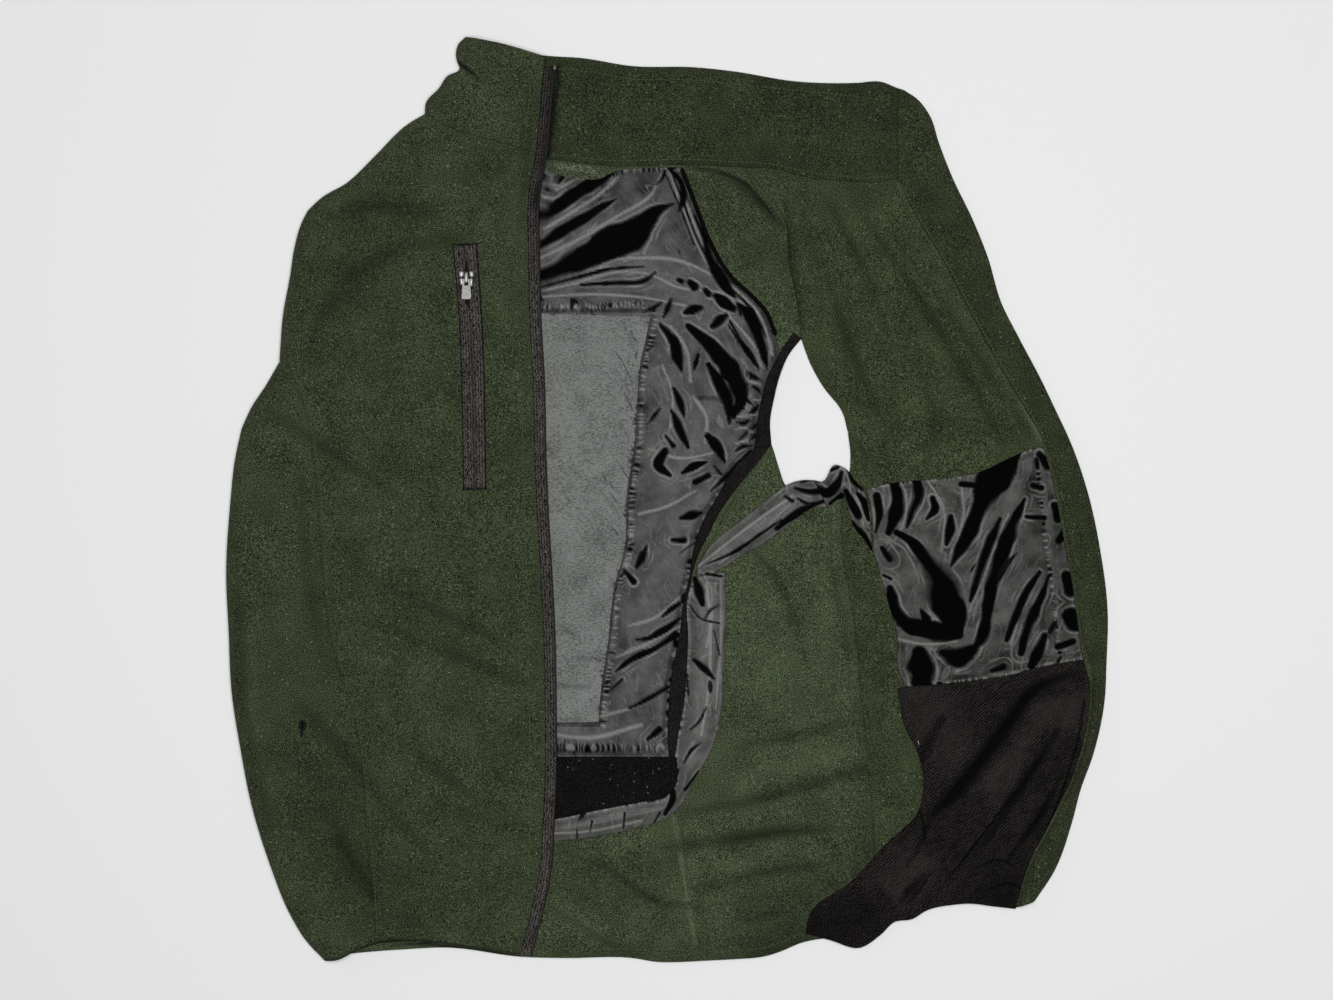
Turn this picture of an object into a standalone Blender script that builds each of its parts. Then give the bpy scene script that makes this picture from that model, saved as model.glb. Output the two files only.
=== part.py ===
"""Fleece vest with heater pads, laid out on its back with the wearer's left front opened.

Every piece of cloth is a thin wall: a grid of faces spanned between its four cut edges,
lifted to the height at which it lies, and given its thickness upwards.  Metres, +Z up,
the surface that the vest lies on is z = 0.  The tables hold millimetres.
"""
import math

import bmesh
import bpy
import numpy as np

MM = 0.001

# ---------------------------------------------------------------- driving dimensions, mm
SEAM_GAP = 0.4            # clear width between two pieces that are sewn edge to edge
LAY_GAP = 0.3             # clear height between two pieces that lie on each other
FLEECE_WALL = 2.4
COLLAR_WALL = 3.2
TAFFETA_WALL = 1.0
TRICOT_WALL = 1.2
BINDING_WALL = 1.6
PAD_WALL = 2.6
TAPE_WALL = 1.6
HIDDEN_TAPE_WALL = 1.2
GRID_STEP = 25.0          # longest side of a cell in a fleece panel
WIDE_STEP = 42.0          # the same where a panel is mostly covered
FINE_STEP = 14.0          # the same in creased taffeta
BAG_STEP = 20.0           # the same in the pocket bag

FRONT_HEIGHT = 8.0        # the closed front's underside over the lining and pad
FRONT_HEM_HEIGHT = 3.2    # the same along its hem
FRONT_CORNER_HEIGHT = 5.2  # the same at the hem's outer corner
EDGE_ROUND = 10.0         # width over which the closed front curls down at its folds
HEM_SLOPE = 120.0         # width over which it comes down to its hem
TAPE_WIDTH = 9.0          # half of the front zip
PIPING_RADIUS = 1.6
PAD_LIFT = 0.35           # extra clear height under the heater pad
CHANNEL_WALL = 1.4        # wire channels along their edges
LOWER_CHANNEL_BULGE = 2.0  # how far a channel swells over its wires
UPPER_CHANNEL_BULGE = 3.0
TWIST_WALL = 2.0
TWIST_BULGE = 6.0
BINDING_FOLD = 0.6        # the lining's binding is this much thicker than the armhole's

# ---------------------------------------------------------------- grids and blends
MERGE_LENGTH = 1.5        # stations closer than this become one, mm
STEP_SLACK = 0.3          # share of a step by which a cell may be longer
MITRE_FLOOR = 0.35        # lower limit of a mitred corner's divisor
COVERED_FOLDS = 0.3       # share of the lining's folds left under the closed front
COVERED_X = -100.0        # x at which the closed front ends over the lining, mm
COVERED_RAMP = 28.0
BESIDE_PAD = (15.0, 7.0)  # level border of the lining round the pad, then its ramp, mm
ABOVE_PAD = (14.0, 8.0)
BELOW_PAD = (12.0, 6.0)
CORNER_RAMP = (-150.0, 80.0)      # x where the hem starts to rise to its corner, then its ramp
FRONT_RIM = (0.015, 0.035, 0.07)  # shares across the front's centre panel with extra stations
SIDE_RIM = (0.04, 0.12)           # the same across its side panel and the folded collar
FLAP_ROWS = (0.22, 0.5, 0.78)     # the same across the storm flap
FLAP_LIFT = (0.0, 1.0, 1.0, 1.0, 0.0)   # share of the tape's height at those stations
FLAP_FOOT = (-238.0, 24.0)        # y where the flap starts to rise over the slider, its ramp

# ---------------------------------------------------------------- cut edges: x, y in mm
# Closed right front (photo left), from the neck down to the hem.
COLLAR_FOLD = ((-156, 357), (-161, 352), (-163, 345), (-162, 338), (-160, 333), (-170, 327),
               (-176, 318), (-186, 307), (-187, 298))
SHOULDER_FOLD = ((-187, 298), (-199, 291), (-227, 264), (-247, 245), (-266, 234), (-277, 224))
ARMHOLE_RIGHT = ((-277, 224), (-282, 214), (-287, 197), (-291, 172), (-296, 145), (-299, 107))
ARMHOLE_RIGHT_LOW = ((-299, 107), (-310, 88), (-320, 73), (-328, 56))
SIDE_FOLD = ((-328, 56), (-333, 33), (-337, -4), (-340, -54), (-338, -102), (-336, -145),
             (-329, -191), (-320, -236), (-307, -278), (-291, -318), (-279, -338), (-264, -354))
SIDE_PANEL_TOP = ((-299, 107), (-292, 105))
PRINCESS_FRONT_RIGHT = ((-292, 105), (-281, 78), (-271, 24), (-266, -38),
                        (-260, -99), (-252, -130), (-240, -168), (-235, -203), (-230, -268),
                        (-224, -340))
HEM_FRONT_SIDE = ((-264, -354), (-254, -353), (-238, -345), (-224, -340))
HEM_FRONT_CENTRE = ((-224, -340), (-194, -338), (-167, -341), (-141, -345), (-113, -348))
COLLAR_TOP_RIGHT = ((-156, 357), (-126, 352), (-94, 344))
COLLAR_FRONT_EDGE = ((-94, 344), (-95, 333), (-98, 300), (-101, 268))
NECK_FRONT_RIGHT = ((-187, 298), (-170, 288), (-137, 278), (-101, 268))
FRONT_EDGE_RIGHT = ((-101, 268), (-107, 232), (-107, 193), (-106, 145), (-103, 88), (-102, 38),
                    (-100, -12), (-97, -62), (-95, -105), (-94, -163), (-94, -207), (-96, -252),
                    (-98, -282), (-103, -308), (-113, -348))
CHEST_ZIP_LEFT = ((-165, 197), (-160, 138), (-158, 78), (-157, 8))
CHEST_ZIP_RIGHT = ((-146, 198), (-142, 138), (-140, 78), (-139, 9))

# Collar stretch that lies inner face up.
COLLAR_TOP = ((-153, 352), (-126, 348), (-94, 343), (-65, 341), (-28, 335), (21, 334), (50, 331),
              (100, 323), (146, 322), (164, 323), (177, 318))
COLLAR_LEFT_HIDDEN = ((-153, 352), (-156, 345), (-155, 332), (-163, 322), (-170, 312),
                      (-181, 298))
COLLAR_END = ((177, 318), (177, 248))
NECK_BACK = ((-181, 298), (-152, 278), (-97, 265), (-42, 258), (10, 259), (59, 257))
NECK_LEFT = ((59, 257), (83, 256), (110, 249), (135, 247), (160, 246), (177, 248))

# Back and its side panels.
SHOULDER_HIDDEN = ((-181, 298), (-198, 286), (-227, 260), (-246, 241), (-265, 230), (-273, 221))
ARMHOLE_BACK_RIGHT = ((-273, 221), (-255, 170), (-244, 115), (-243, 62))
PRINCESS_BACK_RIGHT = ((-243, 62), (-203, 3), (-187, -37), (-181, -100), (-181, -195),
                       (-183, -239), (-197, -311), (-215, -346))
ARMHOLE_BACK_RIGHT_LOW = ((-324, 54), (-298, 42), (-267, 44), (-243, 62))
SIDE_HIDDEN = ((-324, 54), (-330, 33), (-334, -4), (-337, -54), (-335, -102), (-333, -145),
               (-326, -191), (-317, -236), (-304, -278), (-288, -318), (-276, -338), (-262, -351))
HEM_BACK_SIDE_RIGHT = ((-262, -351), (-238, -348), (-215, -346))
HEM_BACK_CENTRE = ((-215, -346), (-167, -344), (-113, -351), (-80, -352), (-27, -352),
                   (-8, -355), (12, -355), (31, -354))
SHOULDER_LEFT = ((59, 257), (75, 238), (90, 217), (93, 186), (99, 156), (103, 125))
ARMHOLE_BACK_LEFT = ((103, 125), (93, 112), (87, 98), (82, 79), (79, 62), (80, 44))
PRINCESS_BACK_LEFT = ((80, 44), (67, 26), (56, 9), (45, -8), (37, -26), (28, -40), (23, -52),
                      (17, -70), (15, -107), (13, -145), (8, -180), (5, -199), (5, -239),
                      (10, -276), (17, -311), (27, -320), (31, -354))
ARMHOLE_LEFT_LOW = ((80, 44), (82, 38), (86, 25), (91, 12), (103, 3), (119, 0), (134, 4))
SIDE_LEFT = ((134, 4), (135, -45), (141, -76), (145, -107), (148, -145), (154, -199),
             (160, -268), (165, -328))
HEM_BACK_SIDE_LEFT = ((31, -354), (50, -353), (78, -350), (87, -347), (104, -340), (136, -337),
                      (148, -339), (165, -328))

# Opened left front.
ARMHOLE_FRONT_LEFT = ((103, 125), (110, 106), (120, 88), (135, 68), (139, 53))
ARMHOLE_FRONT_LEFT_LOW = ((134, 4), (139, 16), (141, 35), (139, 53))
PRINCESS_FRONT_LEFT = ((139, 53), (153, 35), (159, 8), (170, -45), (179, -99), (188, -153),
                       (196, -215), (190, -276), (183, -317))
FRONT_EDGE_LEFT = ((177, 248), (192, 218), (213, 183), (233, 145), (256, 103), (277, 68),
                   (290, 46), (298, 24), (303, -1), (309, -34), (315, -66), (321, -110),
                   (327, -130), (327, -156), (316, -206), (298, -245), (280, -280), (269, -313))
HEM_FRONT_SIDE_LEFT = ((165, -328), (175, -320), (183, -317))
HEM_FRONT_CENTRE_LEFT = ((183, -317), (200, -310), (219, -306), (233, -305), (250, -308),
                         (269, -313))
FLAP_EDGE = ((183, 316), (192, 310), (202, 297), (209, 276), (220, 248), (235, 217), (247, 187),
             (257, 153), (270, 127), (288, 93), (298, 72), (311, 44), (325, 2), (333, -36),
             (339, -84), (338, -128), (337, -151), (328, -195), (318, -223), (312, -246),
             (298, -285), (283, -308))

# What lies on the back: lining, its edgings, pad, band and wire channels.
LINING_TOP = ((-135, 264), (-97, 257), (-89, 252), (-71, 249), (-53, 248), (-43, 253),
              (-21, 256), (7, 257))
LINING_LEFT_HIDDEN = ((-135, 264), (-160, 235), (-205, 157), (-232, 122), (-232, 60), (-200, 0),
                      (-184, -40), (-178, -100), (-176, -195))
LINING_RIGHT = ((7, 257), (18, 229), (29, 201), (46, 173), (60, 160), (72, 147), (80, 128),
                (84, 113), (77, 96), (72, 77), (69, 60), (67, 41))
LINING_DIAGONAL = ((67, 41), (50, 24), (38, 3), (27, -16), (20, -37), (17, -57), (12, -79),
                   (9, -105), (4, -128), (1, -155), (0, -176), (1, -195))
LINING_BOTTOM = ((-176, -195), (1, -195))
BINDING_OUTER = ((79.5, 42), (67, 26), (56, 9), (45, -8), (37, -26), (28, -40), (22, -52),
                 (18, -66), (15, -79), (16, -105), (15, -128), (13, -155), (9, -176), (5, -195))
ARMHOLE_BINDING_INNER = ((98, 129), (88, 113), (80, 97), (75, 78), (71.5, 62), (71.5, 46))
ARMHOLE_BINDING_OUTER = ((103, 125), (93, 112), (87, 98), (82, 79), (79, 62), (79.5, 46))
PIPING_PATH = ((10.5, 257), (21.5, 228), (32.5, 200), (49.5, 172), (63.5, 159), (75.5, 146),
               (83.5, 127))
PAD_TOP = ((-149, 146), (-13, 142))
PAD_RIGHT = ((-13, 142), (-17, 123), (-21, 105), (-23, 78), (-26, 38), (-31, 8), (-33, -37),
             (-41, -68), (-46, -112), (-51, -145), (-53, -170))
PAD_LEFT_HIDDEN = ((-149, 146), (-142, 78), (-135, -37), (-125, -112), (-122, -171))
PAD_BOTTOM = ((-122, -171), (-53, -170))
BAND_TOP = ((-176, -197), (4, -197))
BAND_RIGHT = ((4, -197), (3, -217), (-5, -226))
BAND_BOTTOM = ((-176, -245), (-144, -245), (-86, -241), (-52, -234), (-20, -228), (-5, -226))
BAND_LEFT_HIDDEN = ((-176, -197), (-176, -245))
LOWER_CHANNEL_INNER = ((20, -58.5), (19, -66), (16.5, -79), (17.5, -105), (16.5, -128),
                       (14.5, -155), (10.5, -176), (7, -195), (6, -218), (-2, -228), (-20, -231),
                       (-52, -237), (-86, -244), (-144, -248))
LOWER_CHANNEL_OUTER = ((44, -54.5), (45, -75), (44, -112), (43, -141), (40, -171), (33, -194),
                       (22, -212), (7, -238), (-3, -245), (-25, -252), (-54, -258), (-87, -262),
                       (-144, -267))
UPPER_CHANNEL_HIGH = ((26, -46), (33, -34), (45, -23), (56, -15), (67, -6), (80, 4), (91, 12),
                      (103, 16), (113, 16))
UPPER_CHANNEL_LOW = ((28, -53), (33, -54), (43, -51.5), (56, -43), (72, -34), (86, -24),
                     (98, -15), (110, -6), (123, -5))
TWIST_HIGH = ((113, 16), (119, 15), (129, 28), (137, 25), (145, 15), (152, 8))
TWIST_LOW = ((123, -5), (131, 1), (137, 2), (140, -9), (143, -20), (151, -29), (158, -40))
TWIST_START = ((113, 16), (123, -5))
TWIST_END = ((152, 8), (156, -15), (158, -40))
NECK_TAB = ((-90, 261), (-50, 256.5), (-55, 251.5), (-83, 255))

# What lies on the opened left front: satin heater patch and tricot hand pocket bag.
PATCH_TOP = ((153, 8.5), (164, 12), (193, 16), (219, 18), (242, 23), (263, 33), (280, 40),
             (289, 42))
PATCH_RIGHT = ((289, 42), (295, 22), (300, -1), (306, -34), (312, -66), (318, -110), (320, -122))
PATCH_BOTTOM = ((183, -143), (210, -141), (237, -138), (263, -134), (290, -127), (320, -122))
PATCH_LEFT = ((153, 8.5), (157, -15), (159, -40), (164, -58), (171, -82), (177, -106),
              (177, -128), (183, -143))
BAG_TOP = ((177, -145.5), (183, -144.5), (210, -142.5), (237, -139.5), (263, -135.5),
           (290, -128.5), (320, -123.5))
BAG_LEFT = ((177, -145.5), (182, -172), (193, -195), (197, -216), (193, -239), (171, -261),
            (140, -294), (110, -317), (106, -333))
BAG_RIGHT = ((320, -123.5), (325, -140), (325, -157), (314, -206), (296, -245), (278, -280),
             (268, -314))
BAG_BOTTOM = ((106, -333), (125, -338), (148, -344), (164, -334), (175, -324), (188, -322),
              (200, -315), (219, -311), (233, -310), (250, -312), (268, -314))

# ---------------------------------------------------------------- folds, mm
# from x, from y, to x, to y, half width, height
FLOOR_FOLDS = (
    (-80, -292, -15, -322, 20, 4.0),
    (40, -304, 98, -284, 25, 5.0),
    (50, -328, 82, -325, 17, 2.5),
    (156, -112, 156, -186, 15, 5.5),
    (95, -100, 108, -220, 38, 4.5),
    (72, -70, 118, -60, 20, 2.5),
    (190, 200, 246, 100, 36, 4.0),
    (99, 232, 111, 142, 14, 4.5),
    (160, 80, 168, 58, 14, 4.0),
    (150, 190, 196, 120, 26, 2.5),
    (175, 80, 250, 62, 18, 2.5),
)
FRONT_FOLDS = (
    (-262, 186, -222, 200, 36, 5.0),
    (-278, 118, -224, 142, 28, 4.5),
    (-218, 30, -212, -190, 42, 3.5),
    (-250, -238, -158, -296, 48, 5.0),
    (-136, -60, -130, -180, 26, 2.0),
    (-150, 250, -200, 246, 30, 3.0),
)
LINING_FOLDS = (
    (-97, 208, -43, 242, 12, 6.0),
    (-94, 178, -33, 216, 13, 6.5),
    (-26, 246, -4, 214, 11, 4.0),
    (-97, 160, -44, 183, 12, 4.5),
    (-44, 183, 10, 181, 12, 5.0),
    (10, 181, 56, 153, 13, 5.5),
    (56, 153, 76, 124, 12, 5.0),
    (-2, 128, 22, 66, 13, 5.0),
    (22, 138, 48, 72, 12, 5.5),
    (46, 118, 60, 82, 11, 4.5),
    (-6, 74, -12, 24, 12, 4.5),
    (18, 46, 48, 34, 13, 5.0),
    (-8, 10, 22, 0, 12, 4.0),
    (-16, -48, 8, -36, 12, 4.0),
    (-30, -104, 2, -88, 12, 4.0),
    (-38, -140, 0, -124, 12, 4.0),
    (-80, -183, -14, -178, 10, 3.0),
)
PATCH_FOLDS = (
    (273, -13, 246, -110, 15, 7.0),
    (196, -103, 235, -108, 13, 6.0),
    (235, -108, 246, -66, 13, 6.0),
    (224, -50, 230, -96, 12, 5.0),
    (212, 8, 208, -44, 15, 6.0),
    (258, 18, 226, -34, 14, 6.0),
    (176, -2, 190, -60, 13, 5.5),
    (190, -66, 205, -92, 12, 4.5),
    (296, 18, 306, -100, 11, 4.0),
    (190, -128, 296, -118, 12, 4.0),
)
BAG_FOLDS = (
    (304, -148, 262, -205, 15, 3.5),
    (262, -205, 210, -238, 15, 3.5),
    (212, -170, 214, -214, 16, 3.0),
    (238, -250, 198, -298, 14, 3.0),
    (176, -280, 138, -314, 14, 3.0),
    (288, -236, 250, -292, 13, 2.5),
)

# ---------------------------------------------------------------- chest pocket slider, mm
SLIDER_CENTRE = (-154.0, 169.0)
SLIDER_OUTLINE = ((-5.0, 6.2), (-3.4, 7.0), (3.4, 7.0), (5.0, 6.2), (5.7, 2.5), (4.2, -5.6),
                  (3.3, -6.8), (-3.3, -6.8), (-4.2, -5.6), (-5.7, 2.5))
SLIDER_THICK = 3.0
BRIDGE_OUTLINE = ((-2.55, -1.2), (2.55, -1.2), (2.55, 3.1), (1.7, 4.0), (-1.7, 4.0), (-2.55, 3.1))
BRIDGE_EYE = ((-1.45, -0.4), (1.45, -0.4), (1.45, 2.3), (0.9, 2.9), (-0.9, 2.9), (-1.45, 2.3))
BRIDGE_WIDTH = 1.6
PULL_AXIS_HEIGHT = 1.45    # above the slider's top, in the middle of the bridge's eye
PULL_OUTLINE = ((-2.5, 1.0), (2.5, 1.0), (2.9, -4.0), (3.7, -13.0), (3.0, -14.4), (-3.0, -14.4),
                (-3.7, -13.0), (-2.9, -4.0))
PULL_EYE = ((-1.5, -1.0), (1.5, -1.0), (1.5, -4.1), (-1.5, -4.1))
PULL_THICK = 1.3
HAND_SLIDER_CENTRE = (-280.0, -172.0)
HAND_SLIDER_SCALE = 0.62
FRONT_SLIDER_CENTRE = (288.5, -283.5)
FRONT_SLIDER_SIZE = (7.0, 10.0, 4.0)
FRONT_SLIDER_TURN = -22.8                      # degrees about +Z, along the flap's foot
FRONT_SLIDER_BEVEL = 0.9
TAPE_STATIONS = np.linspace(0.03, 0.942, 30)   # shares of the flap's length
TAPE_ACROSS = (0.34, 0.64)                     # shares of the flap's width


# ---------------------------------------------------------------- curves and grids
def run(*tables):
    """One polyline through several edge tables that meet end to end."""
    points = [np.array(tables[0], float)]
    points += [np.array(table, float)[1:] for table in tables[1:]]
    return np.vstack(points)


def fractions(line):
    """Distance along a polyline at each of its points, as a share of its length."""
    steps = np.hypot(*np.diff(line, axis=0).T)
    along = np.concatenate(([0.0], np.cumsum(steps)))
    return along / along[-1], along[-1]


def at(line, shares):
    """Points of a polyline at the given shares of its length."""
    along, _ = fractions(line)
    return np.stack([np.interp(shares, along, line[:, k]) for k in (0, 1)], axis=-1)


def stations(first, second, step, extra=()):
    """Shares at which two opposite edges get a point: all corners of both, and no gap over step."""
    share_a, length_a = fractions(first)
    share_b, length_b = fractions(second)
    length = max(length_a, length_b)
    close = MERGE_LENGTH / length
    shares = [0.0]
    for share in sorted(set(share_a) | set(share_b) | set(extra)):
        if share - shares[-1] > close:
            shares.append(share)
    shares[-1] = 1.0
    filled = [0.0]
    for low, high in zip(shares[:-1], shares[1:]):
        parts = max(1, math.ceil((high - low) * length / step - STEP_SLACK))
        filled += [low + (high - low) * (k + 1) / parts for k in range(parts)]
    return np.array(filled)


def inset(loop, distance):
    """A closed outline moved inwards by distance, with mitred corners."""
    before = loop - np.roll(loop, 1, axis=0)
    after = np.roll(loop, -1, axis=0) - loop
    before /= np.linalg.norm(before, axis=1, keepdims=True)
    after /= np.linalg.norm(after, axis=1, keepdims=True)
    area = np.sum(loop[:, 0] * np.roll(loop[:, 1], -1) - loop[:, 1] * np.roll(loop[:, 0], -1))
    turn = 1.0 if area > 0 else -1.0
    normal_a = turn * np.stack([-before[:, 1], before[:, 0]], axis=1)
    normal_b = turn * np.stack([-after[:, 1], after[:, 0]], axis=1)
    cosine = np.sum(normal_a * normal_b, axis=1, keepdims=True)
    return loop + distance * (normal_a + normal_b) / np.maximum(1.0 + cosine, MITRE_FLOOR)


def span(top, right, bottom, left, step, gap=SEAM_GAP, extra=()):
    """Grid of x, y over a panel with four cut edges.

    The top and bottom edges run left to right, the left and right ones top to bottom.
    A point is the blend of the two pairs of edges, less the blend of the four corners.
    """
    sides = [np.array(side, float) for side in (top, right, bottom[::-1], left[::-1])]
    loop = inset(np.vstack([side[:-1] for side in sides]), gap / 2)
    cuts = np.cumsum([0] + [len(side) - 1 for side in sides])
    closed = np.vstack([loop, loop[:1]])
    top, right, bottom, left = [closed[cuts[k]:cuts[k + 1] + 1] for k in range(4)]
    bottom, left = bottom[::-1], left[::-1]
    u = stations(top, bottom, step, extra)
    v = stations(left, right, step)
    upper, lower = at(top, u)[None], at(bottom, u)[None]
    west, east = at(left, v)[:, None], at(right, v)[:, None]
    across, down = u[None, :, None], v[:, None, None]
    corners = ((1 - across) * (1 - down) * top[0] + across * (1 - down) * top[-1]
               + (1 - across) * down * bottom[0] + across * down * bottom[-1])
    return (1 - down) * upper + down * lower + (1 - across) * west + across * east - corners


def offset_line(line, distance):
    """A polyline moved to its right-hand side by distance, with mitred corners."""
    way = np.diff(line, axis=0)
    way /= np.linalg.norm(way, axis=1, keepdims=True)
    normal = np.stack([way[:, 1], -way[:, 0]], axis=1)
    first = np.vstack([normal[:1], normal])
    last = np.vstack([normal, normal[-1:]])
    cosine = np.sum(first * last, axis=1, keepdims=True)
    return line + distance * (first + last) / np.maximum(1.0 + cosine, MITRE_FLOOR)


# ---------------------------------------------------------------- heights
def distance_to(line, x, y):
    """Shortest distance from each point to a polyline."""
    best = np.full(x.shape, np.inf)
    for (x0, y0), (x1, y1) in zip(line[:-1], line[1:]):
        dx, dy = x1 - x0, y1 - y0
        share = np.clip(((x - x0) * dx + (y - y0) * dy) / (dx * dx + dy * dy), 0.0, 1.0)
        best = np.minimum(best, np.hypot(x - x0 - share * dx, y - y0 - share * dy))
    return best


def smooth(value):
    """Ramp from 0 to 1 with level ends."""
    value = np.clip(value, 0.0, 1.0)
    return value * value * (3.0 - 2.0 * value)


def relief(folds, x, y):
    """Summed height of soft folds: each a rounded ridge along a straight run."""
    total = np.zeros(x.shape)
    for x0, y0, x1, y1, half_width, height in folds:
        away = distance_to(((x0, y0), (x1, y1)), x, y) / half_width
        total += height * np.clip(1.0 - away * away, 0.0, None) ** 2
    return total


def floor_level(x, y):
    """Underside of the pieces that lie on the surface."""
    return relief(FLOOR_FOLDS, x, y)


def inner_level(x, y):
    """Underside of the pieces that lie on the fleece."""
    return floor_level(x, y) + FLEECE_WALL + LAY_GAP


def lining_level(x, y):
    """Underside of the creased lining, flatter where the closed front lies on it."""
    freedom = COVERED_FOLDS + (1.0 - COVERED_FOLDS) * smooth((x - COVERED_X) / COVERED_RAMP)
    edge = np.array(PAD_RIGHT, float)[::-1]
    beside = smooth((x - np.interp(y, edge[:, 1], edge[:, 0]) - BESIDE_PAD[0]) / BESIDE_PAD[1])
    above = smooth((y - PAD_TOP[0][1] - ABOVE_PAD[0]) / ABOVE_PAD[1])
    below = smooth((PAD_BOTTOM[0][1] - BELOW_PAD[0] - y) / BELOW_PAD[1])
    beyond_pad = np.maximum(beside, np.maximum(above, below))
    return inner_level(x, y) + freedom * beyond_pad * relief(LINING_FOLDS, x, y)


def pad_level(x, y):
    """Underside of the heater pad, which lies on the level middle of the lining."""
    return inner_level(x, y) + TAFFETA_WALL + LAY_GAP + PAD_LIFT


def patch_level(x, y):
    """Underside of the creased satin patch."""
    return inner_level(x, y) + relief(PATCH_FOLDS, x, y)


def bag_level(x, y):
    """Underside of the hand pocket's bag."""
    return inner_level(x, y) + relief(BAG_FOLDS, x, y)


def front_level(x, y):
    """Underside of the closed right front and of the collar folded over it."""
    hem = distance_to(run(HEM_FRONT_SIDE, HEM_FRONT_CENTRE), x, y)
    corner = smooth((CORNER_RAMP[0] - x) / CORNER_RAMP[1])
    low = FRONT_HEM_HEIGHT + (FRONT_CORNER_HEIGHT - FRONT_HEM_HEIGHT) * corner
    height = low + (FRONT_HEIGHT - low) * smooth(hem / HEM_SLOPE) + relief(FRONT_FOLDS, x, y)
    fold = run(COLLAR_FOLD, SHOULDER_FOLD, ARMHOLE_RIGHT, ARMHOLE_RIGHT_LOW, SIDE_FOLD)
    inwards = np.clip((distance_to(fold, x, y) - SEAM_GAP) / EDGE_ROUND, 0.0, 1.0)
    return height * np.sqrt(1.0 - (1.0 - inwards) ** 2)


# ---------------------------------------------------------------- making objects
def finish(name, colour, roughness, metallic=0.0):
    """Plain material of one kind of cloth or metal."""
    material = bpy.data.materials.new(name)
    material.use_nodes = True
    shader = material.node_tree.nodes["Principled BSDF"]
    shader.inputs["Base Color"].default_value = (*colour, 1.0)
    shader.inputs["Roughness"].default_value = roughness
    shader.inputs["Metallic"].default_value = metallic
    return material


def add(name, mesh, material, collection):
    """An object of the vest."""
    thing = bpy.data.objects.new(name, mesh)
    mesh.materials.append(material)
    collection.objects.link(thing)
    return thing


def cloth(name, grid, underside, wall, material, collection):
    """Closed cloth wall over a grid of x, y: its underside at the given heights."""
    rows, columns = grid.shape[:2]
    thickness = np.broadcast_to(np.asarray(wall, float), (rows, columns))
    work = bmesh.new()
    bmesh.ops.create_grid(work, x_segments=columns - 1, y_segments=rows - 1, size=1.0)
    lowers, walls = {}, {}
    for corner in work.verts:
        column = round((corner.co.x + 1.0) / 2.0 * (columns - 1))
        row = round((1.0 - corner.co.y) / 2.0 * (rows - 1))
        corner.co = (grid[row, column, 0] * MM, grid[row, column, 1] * MM,
                     underside[row, column] * MM)
        walls[tuple(round(c, 7) for c in corner.co)] = thickness[row, column] * MM
    raised = bmesh.ops.extrude_face_region(work, geom=work.faces[:], use_keep_orig=True)
    for part in raised["geom"]:
        if isinstance(part, bmesh.types.BMVert):
            part.co.z += walls[tuple(round(c, 7) for c in part.co)]
    bmesh.ops.recalc_face_normals(work, faces=work.faces)
    mesh = bpy.data.meshes.new(name)
    work.to_mesh(mesh)
    work.free()
    return add(name, mesh, material, collection)


def lay(name, grid, level, wall, material, collection):
    """Cloth wall whose underside follows a height rule."""
    heights = level(grid[..., 0], grid[..., 1])
    return cloth(name, grid, heights, wall, material, collection)


def strip(inner, outer, columns=1, gap=SEAM_GAP):
    """Grid of a narrow strip between two edges, set in by half a seam gap."""
    inner, outer = np.array(inner, float), np.array(outer, float)
    ends = [np.array((inner[k], outer[k])) for k in (0, -1)]
    return span(ends[0], outer, ends[1], inner, step=60.0, gap=gap,
                extra=[k / columns for k in range(1, columns)])


def outline_solid(name, outlines, thickness):
    """Flat plate with the given outer outline and eyes, centred on z = 0, in mm."""
    curve = bpy.data.curves.new(name, "CURVE")
    curve.dimensions = "2D"
    curve.fill_mode = "BOTH"
    curve.extrude = thickness / 2
    for outline in outlines:
        spline = curve.splines.new("POLY")
        spline.points.add(len(outline) - 1)
        spline.use_cyclic_u = True
        for point, (x, y) in zip(spline.points, outline):
            point.co = (x, y, 0.0, 1.0)
    shape = bpy.data.objects.new(name, curve)
    bpy.context.scene.collection.objects.link(shape)
    graph = bpy.context.evaluated_depsgraph_get()
    mesh = bpy.data.meshes.new_from_object(shape.evaluated_get(graph))
    bpy.data.objects.remove(shape)
    work = bmesh.new()
    work.from_mesh(mesh)
    bmesh.ops.remove_doubles(work, verts=work.verts, dist=0.0001)
    bmesh.ops.recalc_face_normals(work, faces=work.faces)
    work.to_mesh(mesh)
    work.free()
    return mesh


def slider(name, centre, height, scale, material, collection):
    """Zip slider: shield-shaped body with the bridge that holds the pull tab."""
    body = outline_solid(name + "_body", (SLIDER_OUTLINE,), SLIDER_THICK)
    bridge = outline_solid(name + "_bridge", (BRIDGE_OUTLINE, BRIDGE_EYE), BRIDGE_WIDTH)
    work = bmesh.new()
    work.from_mesh(bridge)
    for corner in work.verts:
        across, up, deep = corner.co
        corner.co = (deep, across, up + SLIDER_THICK / 2)
    bmesh.ops.recalc_face_normals(work, faces=work.faces)
    work.to_mesh(bridge)
    work.free()
    holder = bpy.data.objects.new(name + "_bridge", bridge)
    collection.objects.link(holder)
    base = bpy.data.objects.new(name + "_body", body)
    collection.objects.link(base)
    union = base.modifiers.new("bridge", "BOOLEAN")
    union.operation = "UNION"
    union.solver = "EXACT"
    union.object = holder
    graph = bpy.context.evaluated_depsgraph_get()
    mesh = bpy.data.meshes.new_from_object(base.evaluated_get(graph))
    bpy.data.objects.remove(base)
    bpy.data.objects.remove(holder)
    mesh.materials.clear()
    thing = add(name, mesh, material, collection)
    place(thing, centre, height + SLIDER_THICK / 2 * scale, scale)
    return thing


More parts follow.
